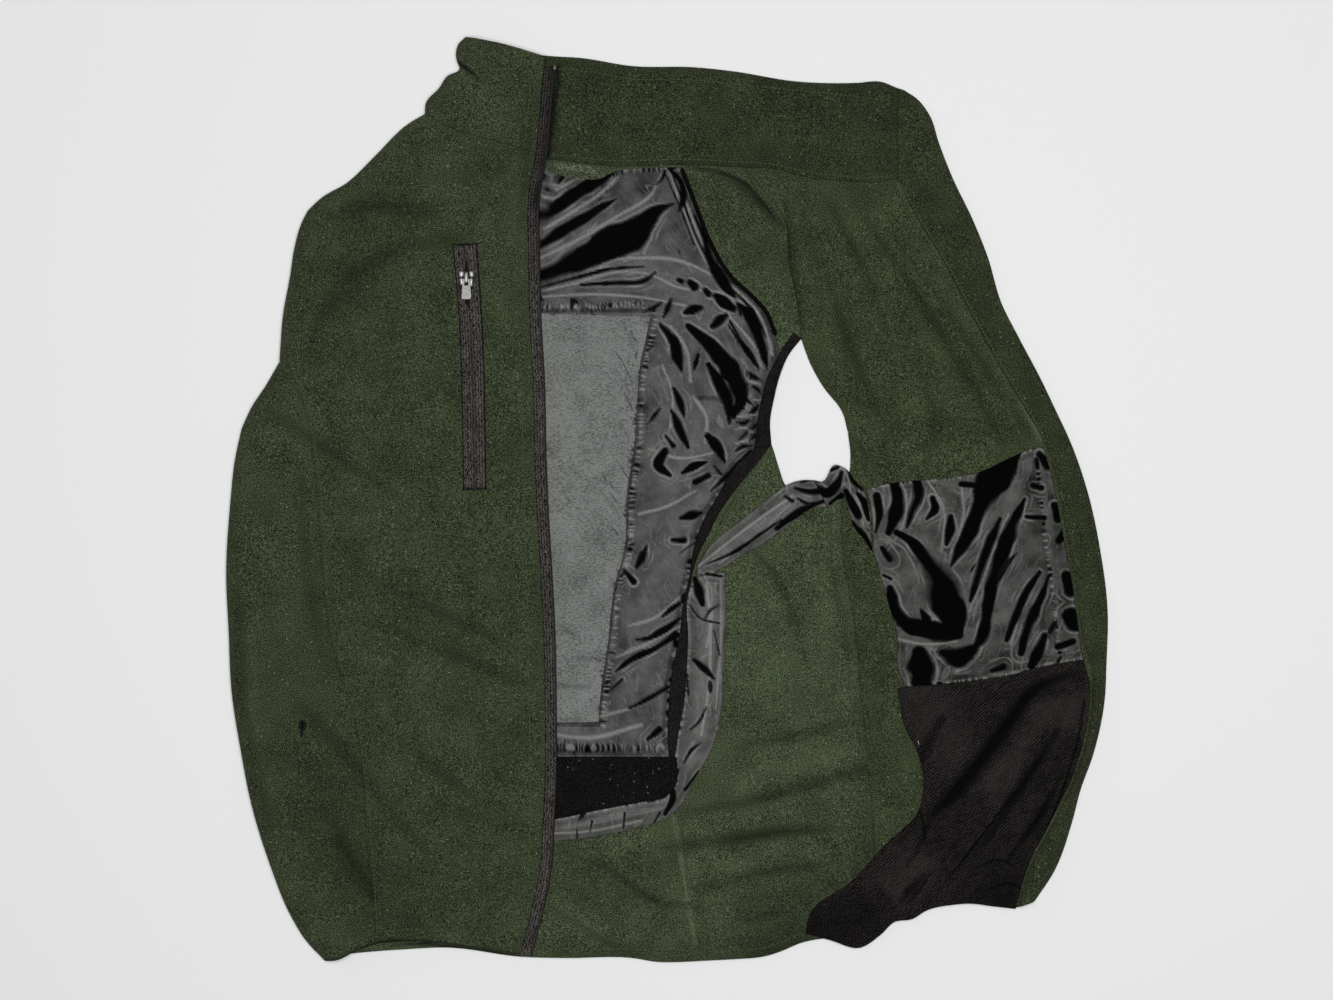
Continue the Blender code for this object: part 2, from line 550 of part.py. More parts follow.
def pull_tab(name, centre, height, scale, material, collection):
    """Pull tab lying flat, its origin on the axis in the bridge's eye."""
    mesh = outline_solid(name, (PULL_OUTLINE, PULL_EYE), PULL_THICK)
    thing = add(name, mesh, material, collection)
    axis = height + (SLIDER_THICK + PULL_AXIS_HEIGHT) * scale
    place(thing, centre, axis, scale)
    return thing


def place(thing, centre, height, scale):
    """Size in millimetres brought to metres in the mesh, then the object set in place."""
    for corner in thing.data.vertices:
        corner.co *= MM * scale
    thing.location = (centre[0] * MM, centre[1] * MM, height * MM)


# ---------------------------------------------------------------- the pieces
def make_fleece_panels(collection, fleece, inner_fleece):
    """Back, sides and fronts, cut along the princess seams."""
    step = GRID_STEP
    lay("back_centre", span(
        NECK_BACK, run(SHOULDER_LEFT, ARMHOLE_BACK_LEFT, PRINCESS_BACK_LEFT), HEM_BACK_CENTRE,
        run(SHOULDER_HIDDEN, ARMHOLE_BACK_RIGHT, PRINCESS_BACK_RIGHT), WIDE_STEP),
        floor_level, FLEECE_WALL, inner_fleece, collection)
    lay("back_side_left", span(
        ARMHOLE_LEFT_LOW, SIDE_LEFT, HEM_BACK_SIDE_LEFT, PRINCESS_BACK_LEFT, step),
        floor_level, FLEECE_WALL, inner_fleece, collection)
    lay("back_side_right", span(
        ARMHOLE_BACK_RIGHT_LOW, PRINCESS_BACK_RIGHT, HEM_BACK_SIDE_RIGHT, SIDE_HIDDEN, WIDE_STEP),
        floor_level, FLEECE_WALL, inner_fleece, collection)
    lay("front_left_centre", span(
        NECK_LEFT, FRONT_EDGE_LEFT, HEM_FRONT_CENTRE_LEFT,
        run(SHOULDER_LEFT, ARMHOLE_FRONT_LEFT, PRINCESS_FRONT_LEFT), step),
        floor_level, FLEECE_WALL, inner_fleece, collection)
    lay("front_left_side", span(
        ARMHOLE_FRONT_LEFT_LOW, PRINCESS_FRONT_LEFT, HEM_FRONT_SIDE_LEFT, SIDE_LEFT, step),
        floor_level, FLEECE_WALL, inner_fleece, collection)
    lay("front_right_centre", span(
        NECK_FRONT_RIGHT, FRONT_EDGE_RIGHT, HEM_FRONT_CENTRE,
        run(SHOULDER_FOLD, ARMHOLE_RIGHT, SIDE_PANEL_TOP, PRINCESS_FRONT_RIGHT), step,
        extra=FRONT_RIM),
        front_level, FLEECE_WALL, fleece, collection)
    lay("front_right_side", span(
        SIDE_PANEL_TOP, PRINCESS_FRONT_RIGHT, HEM_FRONT_SIDE,
        run(ARMHOLE_RIGHT_LOW, SIDE_FOLD), step, extra=SIDE_RIM),
        front_level, FLEECE_WALL, fleece, collection)


def make_collar(collection, fleece, inner_fleece):
    """Stand collar: the long stretch on the surface, and its right end folded over it."""
    lay("collar_back", span(
        COLLAR_TOP, COLLAR_END, run(NECK_BACK, NECK_LEFT), COLLAR_LEFT_HIDDEN, 30.0),
        floor_level, COLLAR_WALL, inner_fleece, collection)
    lay("collar_right", span(
        COLLAR_TOP_RIGHT, COLLAR_FRONT_EDGE, NECK_FRONT_RIGHT, COLLAR_FOLD, GRID_STEP,
        extra=SIDE_RIM),
        front_level, COLLAR_WALL, fleece, collection)


def make_left_closure(collection, inner_fleece, tape, metal):
    """Storm flap along the opened front, with the left half of the zip under it."""
    inner = run(COLLAR_END, FRONT_EDGE_LEFT)
    outer = run(FLAP_EDGE)
    grid = span((inner[0], outer[0]), outer, (inner[-1], outer[-1]), inner, 30.0,
                extra=FLAP_ROWS)
    low_end = smooth((FLAP_FOOT[0] - grid[..., 1]) / FLAP_FOOT[1])
    over_tape = HIDDEN_TAPE_WALL + LAY_GAP + (FRONT_SLIDER_SIZE[2] - HIDDEN_TAPE_WALL) * low_end
    lifted = over_tape * np.array(FLAP_LIFT)
    cloth("storm_flap", grid, lifted, FLEECE_WALL, inner_fleece, collection)
    near, far = at(inner, TAPE_STATIONS)[:, None], at(outer, TAPE_STATIONS)[:, None]
    across = np.array(TAPE_ACROSS)[None, :, None]
    grid = near * (1.0 - across) + far * across
    cloth("front_zip_left", grid, np.zeros(grid.shape[:2]), HIDDEN_TAPE_WALL, tape, collection)
    bpy.ops.mesh.primitive_cube_add(size=1.0)
    block = bpy.context.object
    block.name = block.data.name = "front_slider"
    for corner in block.data.vertices:
        corner.co = [c * size * MM for c, size in zip(corner.co, FRONT_SLIDER_SIZE)]
    rounded = block.modifiers.new("rounded", "BEVEL")
    rounded.width = FRONT_SLIDER_BEVEL * MM
    rounded.segments = 2
    block.rotation_euler.z = math.radians(FRONT_SLIDER_TURN)
    block.location = (FRONT_SLIDER_CENTRE[0] * MM, FRONT_SLIDER_CENTRE[1] * MM,
                      FRONT_SLIDER_SIZE[2] / 2 * MM)
    block.data.materials.append(metal)
    for owner in list(block.users_collection):
        owner.objects.unlink(block)
    collection.objects.link(block)


def make_right_zip(collection, tape):
    """Right half of the front zip along the closed front's edge and the collar."""
    edge = run(COLLAR_FRONT_EDGE[1:], FRONT_EDGE_RIGHT)
    tape_outer = offset_line(edge, -TAPE_WIDTH)
    lay("front_zip_right", strip(edge, tape_outer, columns=2), front_level, TAPE_WALL, tape,
        collection)


def make_back_lining(collection, taffeta, pad, black_fleece, black_cloth, fleece):
    """Lining of the back with its edgings, heater pad, lower band and neck tab."""
    lay("lining_back", span(
        LINING_TOP, run(LINING_RIGHT, LINING_DIAGONAL), LINING_BOTTOM, LINING_LEFT_HIDDEN,
        FINE_STEP), lining_level, TAFFETA_WALL, taffeta, collection)
    lay("heater_pad", span(PAD_TOP, PAD_RIGHT, PAD_BOTTOM, PAD_LEFT_HIDDEN, 30.0),
        pad_level, PAD_WALL, pad, collection)
    lay("band_lower", span(BAND_TOP, BAND_RIGHT, BAND_BOTTOM, BAND_LEFT_HIDDEN, 30.0),
        inner_level, FLEECE_WALL, black_fleece, collection)
    lay("lining_binding", strip(LINING_DIAGONAL, BINDING_OUTER), inner_level,
        BINDING_WALL + BINDING_FOLD, black_cloth, collection)
    lay("armhole_binding_left", strip(ARMHOLE_BINDING_INNER, ARMHOLE_BINDING_OUTER),
        inner_level, BINDING_WALL, black_cloth, collection)
    tab_top, tab_bottom = NECK_TAB[:2], NECK_TAB[:1:-1]
    lay("neck_tab", strip(tab_bottom, tab_top), inner_level, TAFFETA_WALL, fleece, collection)
    make_piping(collection, black_cloth)


def make_piping(collection, black_cloth):
    """Round piping that edges the lining from the neck to the armhole."""
    curve = bpy.data.curves.new("lining_piping", "CURVE")
    curve.dimensions = "3D"
    curve.bevel_depth = PIPING_RADIUS * MM
    curve.bevel_resolution = 1
    curve.use_fill_caps = True
    path = run(PIPING_PATH)
    shares = stations(path, path, 14.0)
    points = at(path, shares)
    heights = inner_level(points[:, 0], points[:, 1]) + PIPING_RADIUS
    spline = curve.splines.new("POLY")
    spline.points.add(len(points) - 1)
    for point, (x, y), z in zip(spline.points, points, heights):
        point.co = (x * MM, y * MM, z * MM, 1.0)
    thing = bpy.data.objects.new("lining_piping", curve)
    curve.materials.append(black_cloth)
    collection.objects.link(thing)


def ridged(grid, wall, bulge):
    """Wall thickness that swells from the edges of a strip to its middle."""
    across = np.linspace(-1.0, 1.0, grid.shape[1])
    return wall + bulge * (1.0 - across[None, :] ** 2) * np.ones(grid.shape[:2])


def make_wire_channels(collection, taffeta):
    """Flat casings that carry the heater wires, and the twist over the armhole's foot."""
    grid = strip(LOWER_CHANNEL_INNER, LOWER_CHANNEL_OUTER, columns=3)
    cloth("channel_lower", grid, inner_level(grid[..., 0], grid[..., 1]),
          ridged(grid, CHANNEL_WALL, LOWER_CHANNEL_BULGE), taffeta, collection)
    grid = strip(UPPER_CHANNEL_LOW, UPPER_CHANNEL_HIGH, columns=3)
    cloth("channel_upper", grid, inner_level(grid[..., 0], grid[..., 1]),
          ridged(grid, CHANNEL_WALL, UPPER_CHANNEL_BULGE), taffeta, collection)
    grid = span(TWIST_HIGH, TWIST_END, TWIST_LOW, TWIST_START, FINE_STEP)
    rows = np.linspace(-1.0, 1.0, grid.shape[0])[:, None]
    cloth("channel_twist", grid, inner_level(grid[..., 0], grid[..., 1]),
          (TWIST_WALL + TWIST_BULGE * (1.0 - rows ** 2)) * np.ones(grid.shape[:2]), taffeta, collection)


def make_front_linings(collection, satin, tricot):
    """Heater patch and hand pocket bag on the opened left front."""
    lay("heater_patch_left", span(PATCH_TOP, PATCH_RIGHT, PATCH_BOTTOM, PATCH_LEFT, FINE_STEP),
        patch_level, TAFFETA_WALL, satin, collection)
    lay("pocket_bag_left", span(BAG_TOP, BAG_RIGHT, BAG_BOTTOM, BAG_LEFT, BAG_STEP),
        bag_level, TRICOT_WALL, tricot, collection)


def make_chest_pocket(collection, tape, metal):
    """Chest pocket's zip tape with its slider and hinged pull tab."""
    top = (CHEST_ZIP_LEFT[0], CHEST_ZIP_RIGHT[0])
    foot = (CHEST_ZIP_LEFT[-1], CHEST_ZIP_RIGHT[-1])
    grid = span(top, CHEST_ZIP_RIGHT, foot, CHEST_ZIP_LEFT, 26.0)
    heights = front_level(grid[..., 0], grid[..., 1]) + FLEECE_WALL + LAY_GAP
    cloth("chest_zip_tape", grid, heights, TRICOT_WALL, tape, collection)
    seat = FRONT_HEIGHT + FLEECE_WALL + TRICOT_WALL + 2 * LAY_GAP
    slider("chest_slider", SLIDER_CENTRE, seat, 1.0, metal, collection)
    pull_tab("chest_pull", SLIDER_CENTRE, seat, 1.0, metal, collection)


def make_hand_pocket_pull(collection, metal):
    """Small slider and pull at the top of the right hand pocket's seam."""
    seat = FRONT_HEIGHT + FLEECE_WALL + LAY_GAP
    slider("hand_slider", HAND_SLIDER_CENTRE, seat, HAND_SLIDER_SCALE, metal, collection)
    pull_tab("hand_pull", HAND_SLIDER_CENTRE, seat, HAND_SLIDER_SCALE, metal, collection)


def main():
    """Clear the scene and build the vest."""
    for thing in list(bpy.data.objects):
        bpy.data.objects.remove(thing)
    vest = bpy.data.collections.new("heated_vest")
    bpy.context.scene.collection.children.link(vest)
    fleece = finish("fleece_outer", (0.034, 0.043, 0.022), 0.95)
    inner_fleece = finish("fleece_inner", (0.036, 0.047, 0.024), 0.95)
    make_fleece_panels(vest, fleece, inner_fleece)
    make_collar(vest, fleece, inner_fleece)
    tape = finish("zip_tape", (0.036, 0.031, 0.030), 0.85)
    taffeta = finish("taffeta_grey", (0.045, 0.045, 0.044), 0.35)
    satin = finish("satin_black", (0.027, 0.027, 0.026), 0.3)
    pad = finish("pad_grey", (0.143, 0.149, 0.141), 0.9)
    black_fleece = finish("fleece_black", (0.008, 0.008, 0.008), 0.95)
    black_cloth = finish("binding_black", (0.008, 0.008, 0.009), 0.7)
    tricot = finish("tricot_black", (0.011, 0.010, 0.010), 0.8)
    silver = finish("zinc_nickel_plated", (0.55, 0.55, 0.54), 0.3, 1.0)
    black_metal = finish("zinc_black", (0.015, 0.015, 0.015), 0.4, 0.6)
    make_left_closure(vest, inner_fleece, tape, black_metal)
    make_right_zip(vest, tape)
    make_back_lining(vest, taffeta, pad, black_fleece, black_cloth, fleece)
    make_wire_channels(vest, taffeta)
    make_front_linings(vest, satin, tricot)
    make_chest_pocket(vest, tape, silver)
    make_hand_pocket_pull(vest, black_metal)


main()
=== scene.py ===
"""Looks of a fleece heated vest that lies open on its back.

The wearer's right front lies closed over the back with its outer face up.  The left front
is opened out, and shows its inner face with a satin heater patch and a tricot pocket bag.
Tables hold millimetres in the row frame; +Z is up from the surface that the vest lies on.
"""
from __future__ import annotations

import logging
import math
from dataclasses import dataclass, field
from enum import Enum
from functools import partial
from typing import Callable, Sequence

import bpy
import numpy as np
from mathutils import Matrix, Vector


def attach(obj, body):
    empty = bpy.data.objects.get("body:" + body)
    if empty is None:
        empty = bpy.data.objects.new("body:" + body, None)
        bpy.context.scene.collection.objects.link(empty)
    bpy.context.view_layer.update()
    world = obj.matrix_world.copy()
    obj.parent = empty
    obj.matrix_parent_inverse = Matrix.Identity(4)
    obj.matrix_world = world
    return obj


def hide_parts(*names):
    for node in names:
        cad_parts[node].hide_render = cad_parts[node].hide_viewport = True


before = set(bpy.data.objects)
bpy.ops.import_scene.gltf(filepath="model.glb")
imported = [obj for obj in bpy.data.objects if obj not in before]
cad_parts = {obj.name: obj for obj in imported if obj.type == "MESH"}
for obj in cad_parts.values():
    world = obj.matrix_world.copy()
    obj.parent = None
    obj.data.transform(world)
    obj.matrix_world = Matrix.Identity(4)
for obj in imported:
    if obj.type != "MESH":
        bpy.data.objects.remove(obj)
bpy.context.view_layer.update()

LOG = logging.getLogger("vest")
MM = 0.001
Table = Sequence[Sequence[float]]
Array = np.ndarray
Level = Callable[[Array, Array], Array]
Add = Callable[..., bpy.types.Node]
Stop = tuple[float, str]

# ------------------------------------------------------------------ sizes, mm
FLEECE_WALL = 2.4
COLLAR_WALL = 3.2
TAFFETA_WALL = 1.0
TRICOT_WALL = 1.2
BINDING_WALL = 1.6
TAPE_WALL = 1.6
LAY_GAP = 0.3             # clear height between two pieces that lie on each other
FRONT_HEIGHT = 8.0        # the closed front's underside over the lining and pad
FRONT_HEM_HEIGHT = 3.2
FRONT_CORNER_HEIGHT = 5.2
EDGE_ROUND = 10.0         # width over which the closed front curls down at its folds
HEM_SLOPE = 120.0         # width over which it comes down to its hem
TAPE_WIDTH = 9.0          # half of the front zip
CORNER_START = -150.0     # x from which the closed front's hem rises towards its corner
CORNER_RAMP = 80.0
LINING_STAND = 3.0        # the slack lining stands off the fleece beside the pad,
LINING_SLOPE = 1.4        # a little more further out,
SHOULDER_STAND = 2.6      # and more over the shoulders
FLAP_STAND = 1.5          # the flap stands off the surface over the zip tape,
SLIDER_STAND = 2.8        # and more over the slider at its foot
TUBE_SIDES = 10
BAR_SIDES = 5
FUZZ = 900.0              # noise cells in a metre that make a thread's fuzz

# ------------------------------------------------------------------ cut edges: x, y in mm
COLLAR_FOLD = ((-156, 357), (-161, 352), (-163, 345), (-162, 338), (-160, 333), (-170, 327),
    (-176, 318), (-186, 307), (-187, 298))
SHOULDER_FOLD = ((-187, 298), (-199, 291), (-227, 264), (-247, 245), (-266, 234), (-277, 224))
ARMHOLE_RIGHT = ((-277, 224), (-282, 214), (-287, 197), (-291, 172), (-296, 145), (-299, 107))
ARMHOLE_RIGHT_LOW = ((-299, 107), (-310, 88), (-320, 73), (-328, 56))
SIDE_FOLD = ((-328, 56), (-333, 33), (-337, -4), (-340, -54), (-338, -102), (-336, -145),
    (-329, -191), (-320, -236), (-307, -278), (-291, -318), (-279, -338), (-264, -354))
SIDE_PANEL_TOP = ((-299, 107), (-292, 105))
PRINCESS_FRONT_RIGHT = ((-292, 105), (-281, 78), (-271, 24), (-266, -38), (-260, -99),
    (-252, -130), (-240, -168), (-235, -203), (-230, -268), (-224, -340))
HEM_FRONT_SIDE = ((-264, -354), (-254, -353), (-238, -345), (-224, -340))
HEM_FRONT_CENTRE = ((-224, -340), (-194, -338), (-167, -341), (-141, -345), (-113, -348))
COLLAR_TOP_RIGHT = ((-156, 357), (-126, 351), (-94, 341.5))
COLLAR_FRONT_EDGE = ((-94, 341.5), (-95, 333), (-98, 300), (-101, 268))
NECK_FRONT_RIGHT = ((-187, 298), (-170, 288), (-137, 278), (-101, 268))
FRONT_EDGE_RIGHT = ((-101, 268), (-107, 232), (-107, 193), (-106, 145), (-103, 88), (-102, 38),
    (-100, -12), (-97, -62), (-95, -105), (-94, -163), (-94, -207), (-96, -252), (-98, -282),
    (-103, -308), (-113, -348))
CHEST_ZIP_LEFT = ((-165, 197), (-160, 138), (-158, 78), (-157, 8))
CHEST_ZIP_RIGHT = ((-146, 198), (-142, 138), (-140, 78), (-139, 9))

COLLAR_TOP = ((-153, 352), (-126, 348), (-94, 343), (-65, 341), (-28, 335), (21, 334), (50, 331),
    (100, 323), (146, 322), (164, 323), (177, 318))
COLLAR_LEFT_HIDDEN = ((-153, 352), (-156, 345), (-155, 332), (-163, 322), (-170, 312), (-181, 298))
COLLAR_END = ((177, 318), (177, 248))
NECK_BACK = ((-181, 298), (-152, 278), (-97, 265), (-42, 258), (10, 259), (59, 257))
NECK_LEFT = ((59, 257), (83, 256), (110, 249), (135, 247), (160, 246), (177, 248))

SHOULDER_HIDDEN = ((-181, 298), (-198, 286), (-227, 260), (-246, 241), (-265, 230), (-273, 221))
ARMHOLE_BACK_RIGHT = ((-273, 221), (-255, 170), (-244, 115), (-243, 62))
PRINCESS_BACK_RIGHT = ((-243, 62), (-203, 3), (-187, -37), (-181, -100), (-181, -195),
    (-183, -239), (-197, -311), (-215, -346))
ARMHOLE_BACK_RIGHT_LOW = ((-324, 54), (-298, 42), (-267, 44), (-243, 62))
SIDE_HIDDEN = ((-324, 54), *((x + 3, y) for x, y in SIDE_FOLD[1:-1]), (-262, -351))
HEM_BACK_SIDE_RIGHT = ((-262, -351), (-238, -348), (-215, -346))
HEM_BACK_CENTRE = ((-215, -346), (-167, -344), (-113, -351), (-80, -352), (-27, -352), (-8, -355),
    (12, -355), (31, -354))
SHOULDER_LEFT = ((59, 257), (75, 238), (90, 217), (93, 186), (99, 156), (103, 125))
ARMHOLE_BACK_LEFT = ((103, 125), (93, 112), (87, 98), (82, 79), (79, 62), (80, 44))
PRINCESS_BACK_LEFT = ((80, 44), (67, 26), (56, 9), (45, -8), (37, -26), (28, -40), (23, -52),
    (17, -70), (15, -107), (13, -145), (8, -180), (5, -199), (5, -239), (10, -276), (17, -311),
    (27, -320), (31, -354))
ARMHOLE_LEFT_LOW = ((80, 44), (82, 38), (86, 25), (91, 12), (103, 3), (119, 0), (134, 4))
SIDE_LEFT = ((134, 4), (135, -45), (141, -76), (145, -107), (148, -145), (154, -199), (160, -268),
    (165, -328))
HEM_BACK_SIDE_LEFT = ((31, -354), (50, -353), (78, -350), (87, -347), (104, -340), (136, -337),
    (148, -339), (165, -328))

ARMHOLE_FRONT_LEFT = ((103, 125), (110, 106), (120, 88), (135, 68), (139, 53))
ARMHOLE_FRONT_LEFT_LOW = ((134, 4), (139, 16), (141, 35), (139, 53))
PRINCESS_FRONT_LEFT = ((139, 53), (153, 35), (159, 8), (170, -45), (179, -99), (188, -153),
    (196, -215), (190, -276), (183, -317))
FRONT_EDGE_LEFT = ((177, 248), (192, 218), (213, 183), (233, 145), (256, 103), (277, 68),
    (290, 46), (298, 24), (303, -1), (309, -34), (315, -66), (321, -110), (327, -130), (327, -156),
    (316, -206), (298, -245), (280, -280), (269, -313))
HEM_FRONT_SIDE_LEFT = ((165, -328), (175, -320), (183, -317))
HEM_FRONT_CENTRE_LEFT = ((183, -317), (200, -310), (219, -306), (233, -305), (250, -308),
    (269, -313))
FLAP_EDGE = ((183, 316), (192, 310), (202, 297), (209, 276), (220, 248), (235, 217), (247, 187),
    (257, 153), (270, 127), (288, 93), (298, 72), (311, 44), (325, 2), (333, -36), (339, -84),
    (338, -128), (337, -151), (328, -195), (318, -223), (312, -246), (298, -285), (283, -308))

LINING_TOP = ((-135, 264), (-97, 257), (-89, 252), (-71, 249), (-53, 248), (-43, 253), (-21, 256),
    (7, 257))
LINING_LEFT_HIDDEN = ((-135, 264), (-160, 235), (-205, 157), (-232, 122), (-232, 60), (-200, 0),
    (-184, -40), (-178, -100), (-176, -197.4))
LINING_RIGHT = ((8.6, 257), (19.6, 229.6), (30.6, 201.6), (47.6, 173.8), (61.4, 161), (73.6, 148),
    (82, 129), (86, 114), (77, 96), (72, 77), (69, 60), (67, 41))
LINING_DIAGONAL = ((67, 41), (50, 24), (38, 3), (27, -16), (20, -37), (17, -57), (12, -79),
    (9, -105), (4, -128), (1, -155), (0, -176), (1, -197.4))
LINING_BOTTOM = ((-176, -197.4), (1, -197.4))
BINDING_OUTER = ((79, 42.4), (64, 23), (51, 7), (40, -9), (31, -27), (24, -41), (20, -53),
    (17, -66), (15, -79), (16, -105), (15, -128), (13, -155), (9, -176), (6, -197))
ARMHOLE_BINDING_INNER = ((97, 130), (86.2, 114.2), (76.8, 96.1), (71.8, 77), (68.8, 60),
    (66.8, 40.8))
ARMHOLE_BINDING_OUTER = (*ARMHOLE_BACK_LEFT[:-1], (79.9, 42.3))
PIPING_PATH = ((10.5, 257), (21.5, 228), (32.5, 200), (49.5, 172), (63.5, 159), (75.5, 146),
    (83.5, 127))
PAD_TOP = ((-149, 146), (-13, 142))
PAD_RIGHT = ((-13, 142), (-17, 123), (-21, 105), (-23, 78), (-26, 38), (-31, 8), (-33, -37),
    (-41, -68), (-46, -112), (-51, -145), (-53, -170))
PAD_LEFT_HIDDEN = ((-149, 146), (-142, 78), (-135, -37), (-125, -112), (-122, -171))
PAD_BOTTOM = ((-122, -171), (-53, -170))
BAND_TOP = ((-176, -196.8), (7.5, -196.8))
BAND_RIGHT = ((7.5, -196.8), (7, -218), (-2, -228.6))
BAND_BOTTOM = ((-176, -249), (-144, -249), (-86, -245), (-52, -238), (-20, -232), (-2, -228.6))
BAND_LEFT_HIDDEN = ((-176, -196.8), (-176, -249))
LOWER_CHANNEL_INNER = ((19, -58.5), (17.4, -66), (14.4, -79), (15.4, -105), (14.4, -128),
    (12.4, -155), (8.4, -176), (5.4, -195), (5.4, -218), (-2, -228), (-20, -231), (-52, -237),
    (-86, -244), (-144, -248))
LOWER_CHANNEL_OUTER = ((44, -54.5), (45, -75), (44, -112), (43, -141), (40, -171), (33, -194),
    (22, -212), (7, -238), (-3, -245), (-25, -252), (-54, -258), (-87, -262), (-144, -267))
UPPER_CHANNEL_HIGH = ((23, -50), (33, -34), (45, -23), (56, -15), (67, -6), (80, 4), (91, 12),
    (103, 16), (113, 16))
UPPER_CHANNEL_LOW = ((22, -57), (33, -56), (43, -51.5), (56, -43), (72, -34), (86, -24), (98, -15),
    (110, -6), (123, -5))
TWIST_HIGH = ((113, 16), (119, 15), (129, 28), (137, 25), (145, 15), (152, 8))
TWIST_LOW = ((123, -5), (131, 1), (137, 2), (140, -9), (143, -20), (151, -29), (158, -40))
TWIST_START = ((113, 16), (123, -5))
TWIST_END = ((152, 8), (156, -15), (158, -40))
NECK_TAB = ((-90, 261), (-50, 256.5), (-55, 251.5), (-83, 255))

PATCH_TOP = ((153, 8.5), (164, 12), (193, 16), (219, 18), (242, 23), (263, 33), (280, 40),
    (289, 42))
PATCH_RIGHT = ((289, 42), (295, 22), (300, -1), (306, -34), (312, -66), (318, -110), (320, -122))
PATCH_BOTTOM = ((183, -143), (210, -141), (237, -138), (263, -134), (290, -127), (320, -122))
PATCH_LEFT = ((153, 8.5), (157, -15), (159, -40), (164, -58), (171, -82), (177, -106), (177, -128),
    (183, -143))
BAG_TOP = ((177, -144), *((x, y - 0.2) for x, y in PATCH_BOTTOM[:-1]), (320, -122.3))
BAG_LEFT = ((177, -144), (182, -172), (193, -195), (197, -216), (193, -239), (171, -261),
    (140, -294), (110, -317), (106, -333))
BAG_RIGHT = ((320, -122.3), (325, -140), (325, -157), (314, -206), (296, -245), (278, -280),
    (268, -314))
BAG_BOTTOM = ((106, -333), (125, -338), (148, -344), (164, -334), (175, -324), (188, -322),
    (200, -315), (219, -311), (233, -310), (250, -312), (268, -314))


# ------------------------------------------------------------------ curves and grids
def run(*tables: Table) -> Array:
    """One polyline through several edge tables that meet end to end."""
    points = [np.array(tables[0], float)]
    points += [np.array(table, float)[1:] for table in tables[1:]]
    return np.vstack(points)


def bend(table: Table, parts: int = 6) -> Array:
    """Smooth curve through a table's points.

    Formula: between two points, the cubic whose slopes at them are half the step from the
    point before to the point after, limited to the shorter of the two steps.

    Args:
        table: points, each a row of two or more numbers.
        parts: pieces that each step is cut into.

    Returns:
        The points of the curve, the table's own among them.
    """
    p = np.array(table, float)
    if len(p) < 3:
        return p
    step = np.diff(p, axis=0)
    length = np.linalg.norm(step[:, :2], axis=1, keepdims=True)
    way = step / length
    inner = (way[1:] * length[:-1] + way[:-1] * length[1:]) / (length[1:] + length[:-1])
    slope = np.vstack([way[:1], inner, way[-1:]])
    t = (np.arange(parts) / parts)[None, :, None]
    a, b = p[:-1, None], p[1:, None]
    ma, mb = (slope[:-1] * length)[:, None], (slope[1:] * length)[:, None]
    body = ((2 * t**3 - 3 * t**2 + 1) * a + (t**3 - 2 * t**2 + t) * ma
            + (3 * t**2 - 2 * t**3) * b + (t**3 - t**2) * mb)
    return np.vstack([body.reshape(-1, p.shape[1]), p[-1:]])


def joined(tables: Sequence[Table]) -> Array:
    """Smooth curves through several tables, end to end, with a corner where they meet."""
    return run(*[bend(table) for table in tables])


def along(line: Array) -> tuple[Array, float]:
    """Share of a line's length at each of its points, and the length."""
    gone = np.concatenate(([0.0], np.cumsum(np.linalg.norm(np.diff(line[:, :2], axis=0), axis=1))))
    return gone / gone[-1], float(gone[-1])


def at(line: Array, shares: Array) -> Array:
    """Points of a line at the given shares of its length."""
    share, _ = along(line)
    return np.stack([np.interp(shares, share, line[:, k]) for k in range(line.shape[1])], axis=-1)


def nearest(line: Array, x: Array, y: Array) -> tuple[Array, Array, Array]:
    """Distance from points to a line, and where on it the nearest place is.

    Args:
        line: points of the line, x and y first.
        x: points' x.
        y: points' y.

    Returns:
        Distance, length along the line at the nearest place, and side (+1 left of its way).
    """
    best = np.full(x.shape, np.inf)
    place, side = np.zeros(x.shape), np.ones(x.shape)
    gone = 0.0
    for (x0, y0), (x1, y1) in zip(line[:-1, :2], line[1:, :2]):
        dx, dy = x1 - x0, y1 - y0
        length = math.hypot(dx, dy)
        if length < 1e-9:
            continue
        share = np.clip(((x - x0) * dx + (y - y0) * dy) / length**2, 0.0, 1.0)
        away = np.hypot(x - x0 - share * dx, y - y0 - share * dy)
        nearer = away < best
        best = np.where(nearer, away, best)
        place = np.where(nearer, gone + share * length, place)
        side = np.where(nearer, np.sign(dx * (y - y0) - dy * (x - x0)), side)
        gone += length
    return best, place, side


def inside(line: Array, reach: float, x: Array, y: Array) -> Array:
    """Which points lie in a line's box, widened by reach."""
    low, high = line[:, :2].min(0) - reach, line[:, :2].max(0) + reach
    return (x > low[0]) & (x < high[0]) & (y > low[1]) & (y < high[1])


def smooth(value: Array) -> Array:
    """Ramp from 0 to 1 with level ends."""
    value = np.clip(value, 0.0, 1.0)
    return value * value * (3.0 - 2.0 * value)


def ripple(x: Array, y: Array, size: float, seed: int) -> Array:
    """Smooth random hills between -1 and 1.

    Formula: seeded random numbers on a square lattice, blended between its points.

    Args:
        x: points' x, mm.
        y: points' y, mm.
        size: lattice spacing, mm.
        seed: which set of random numbers.

    Returns:
        Height at each point.
    """
    lattice = np.random.default_rng(seed).uniform(-1.0, 1.0, (256, 256))
    u, v = x / size + 128.0, y / size + 128.0
    i, j = np.floor(u).astype(int), np.floor(v).astype(int)
    a, b = smooth(u - i), smooth(v - j)
    i, j = i % 255, j % 255
    low = lattice[i, j] * (1 - a) + lattice[i + 1, j] * a
    high = lattice[i, j + 1] * (1 - a) + lattice[i + 1, j + 1] * a
    return low * (1 - b) + high * b


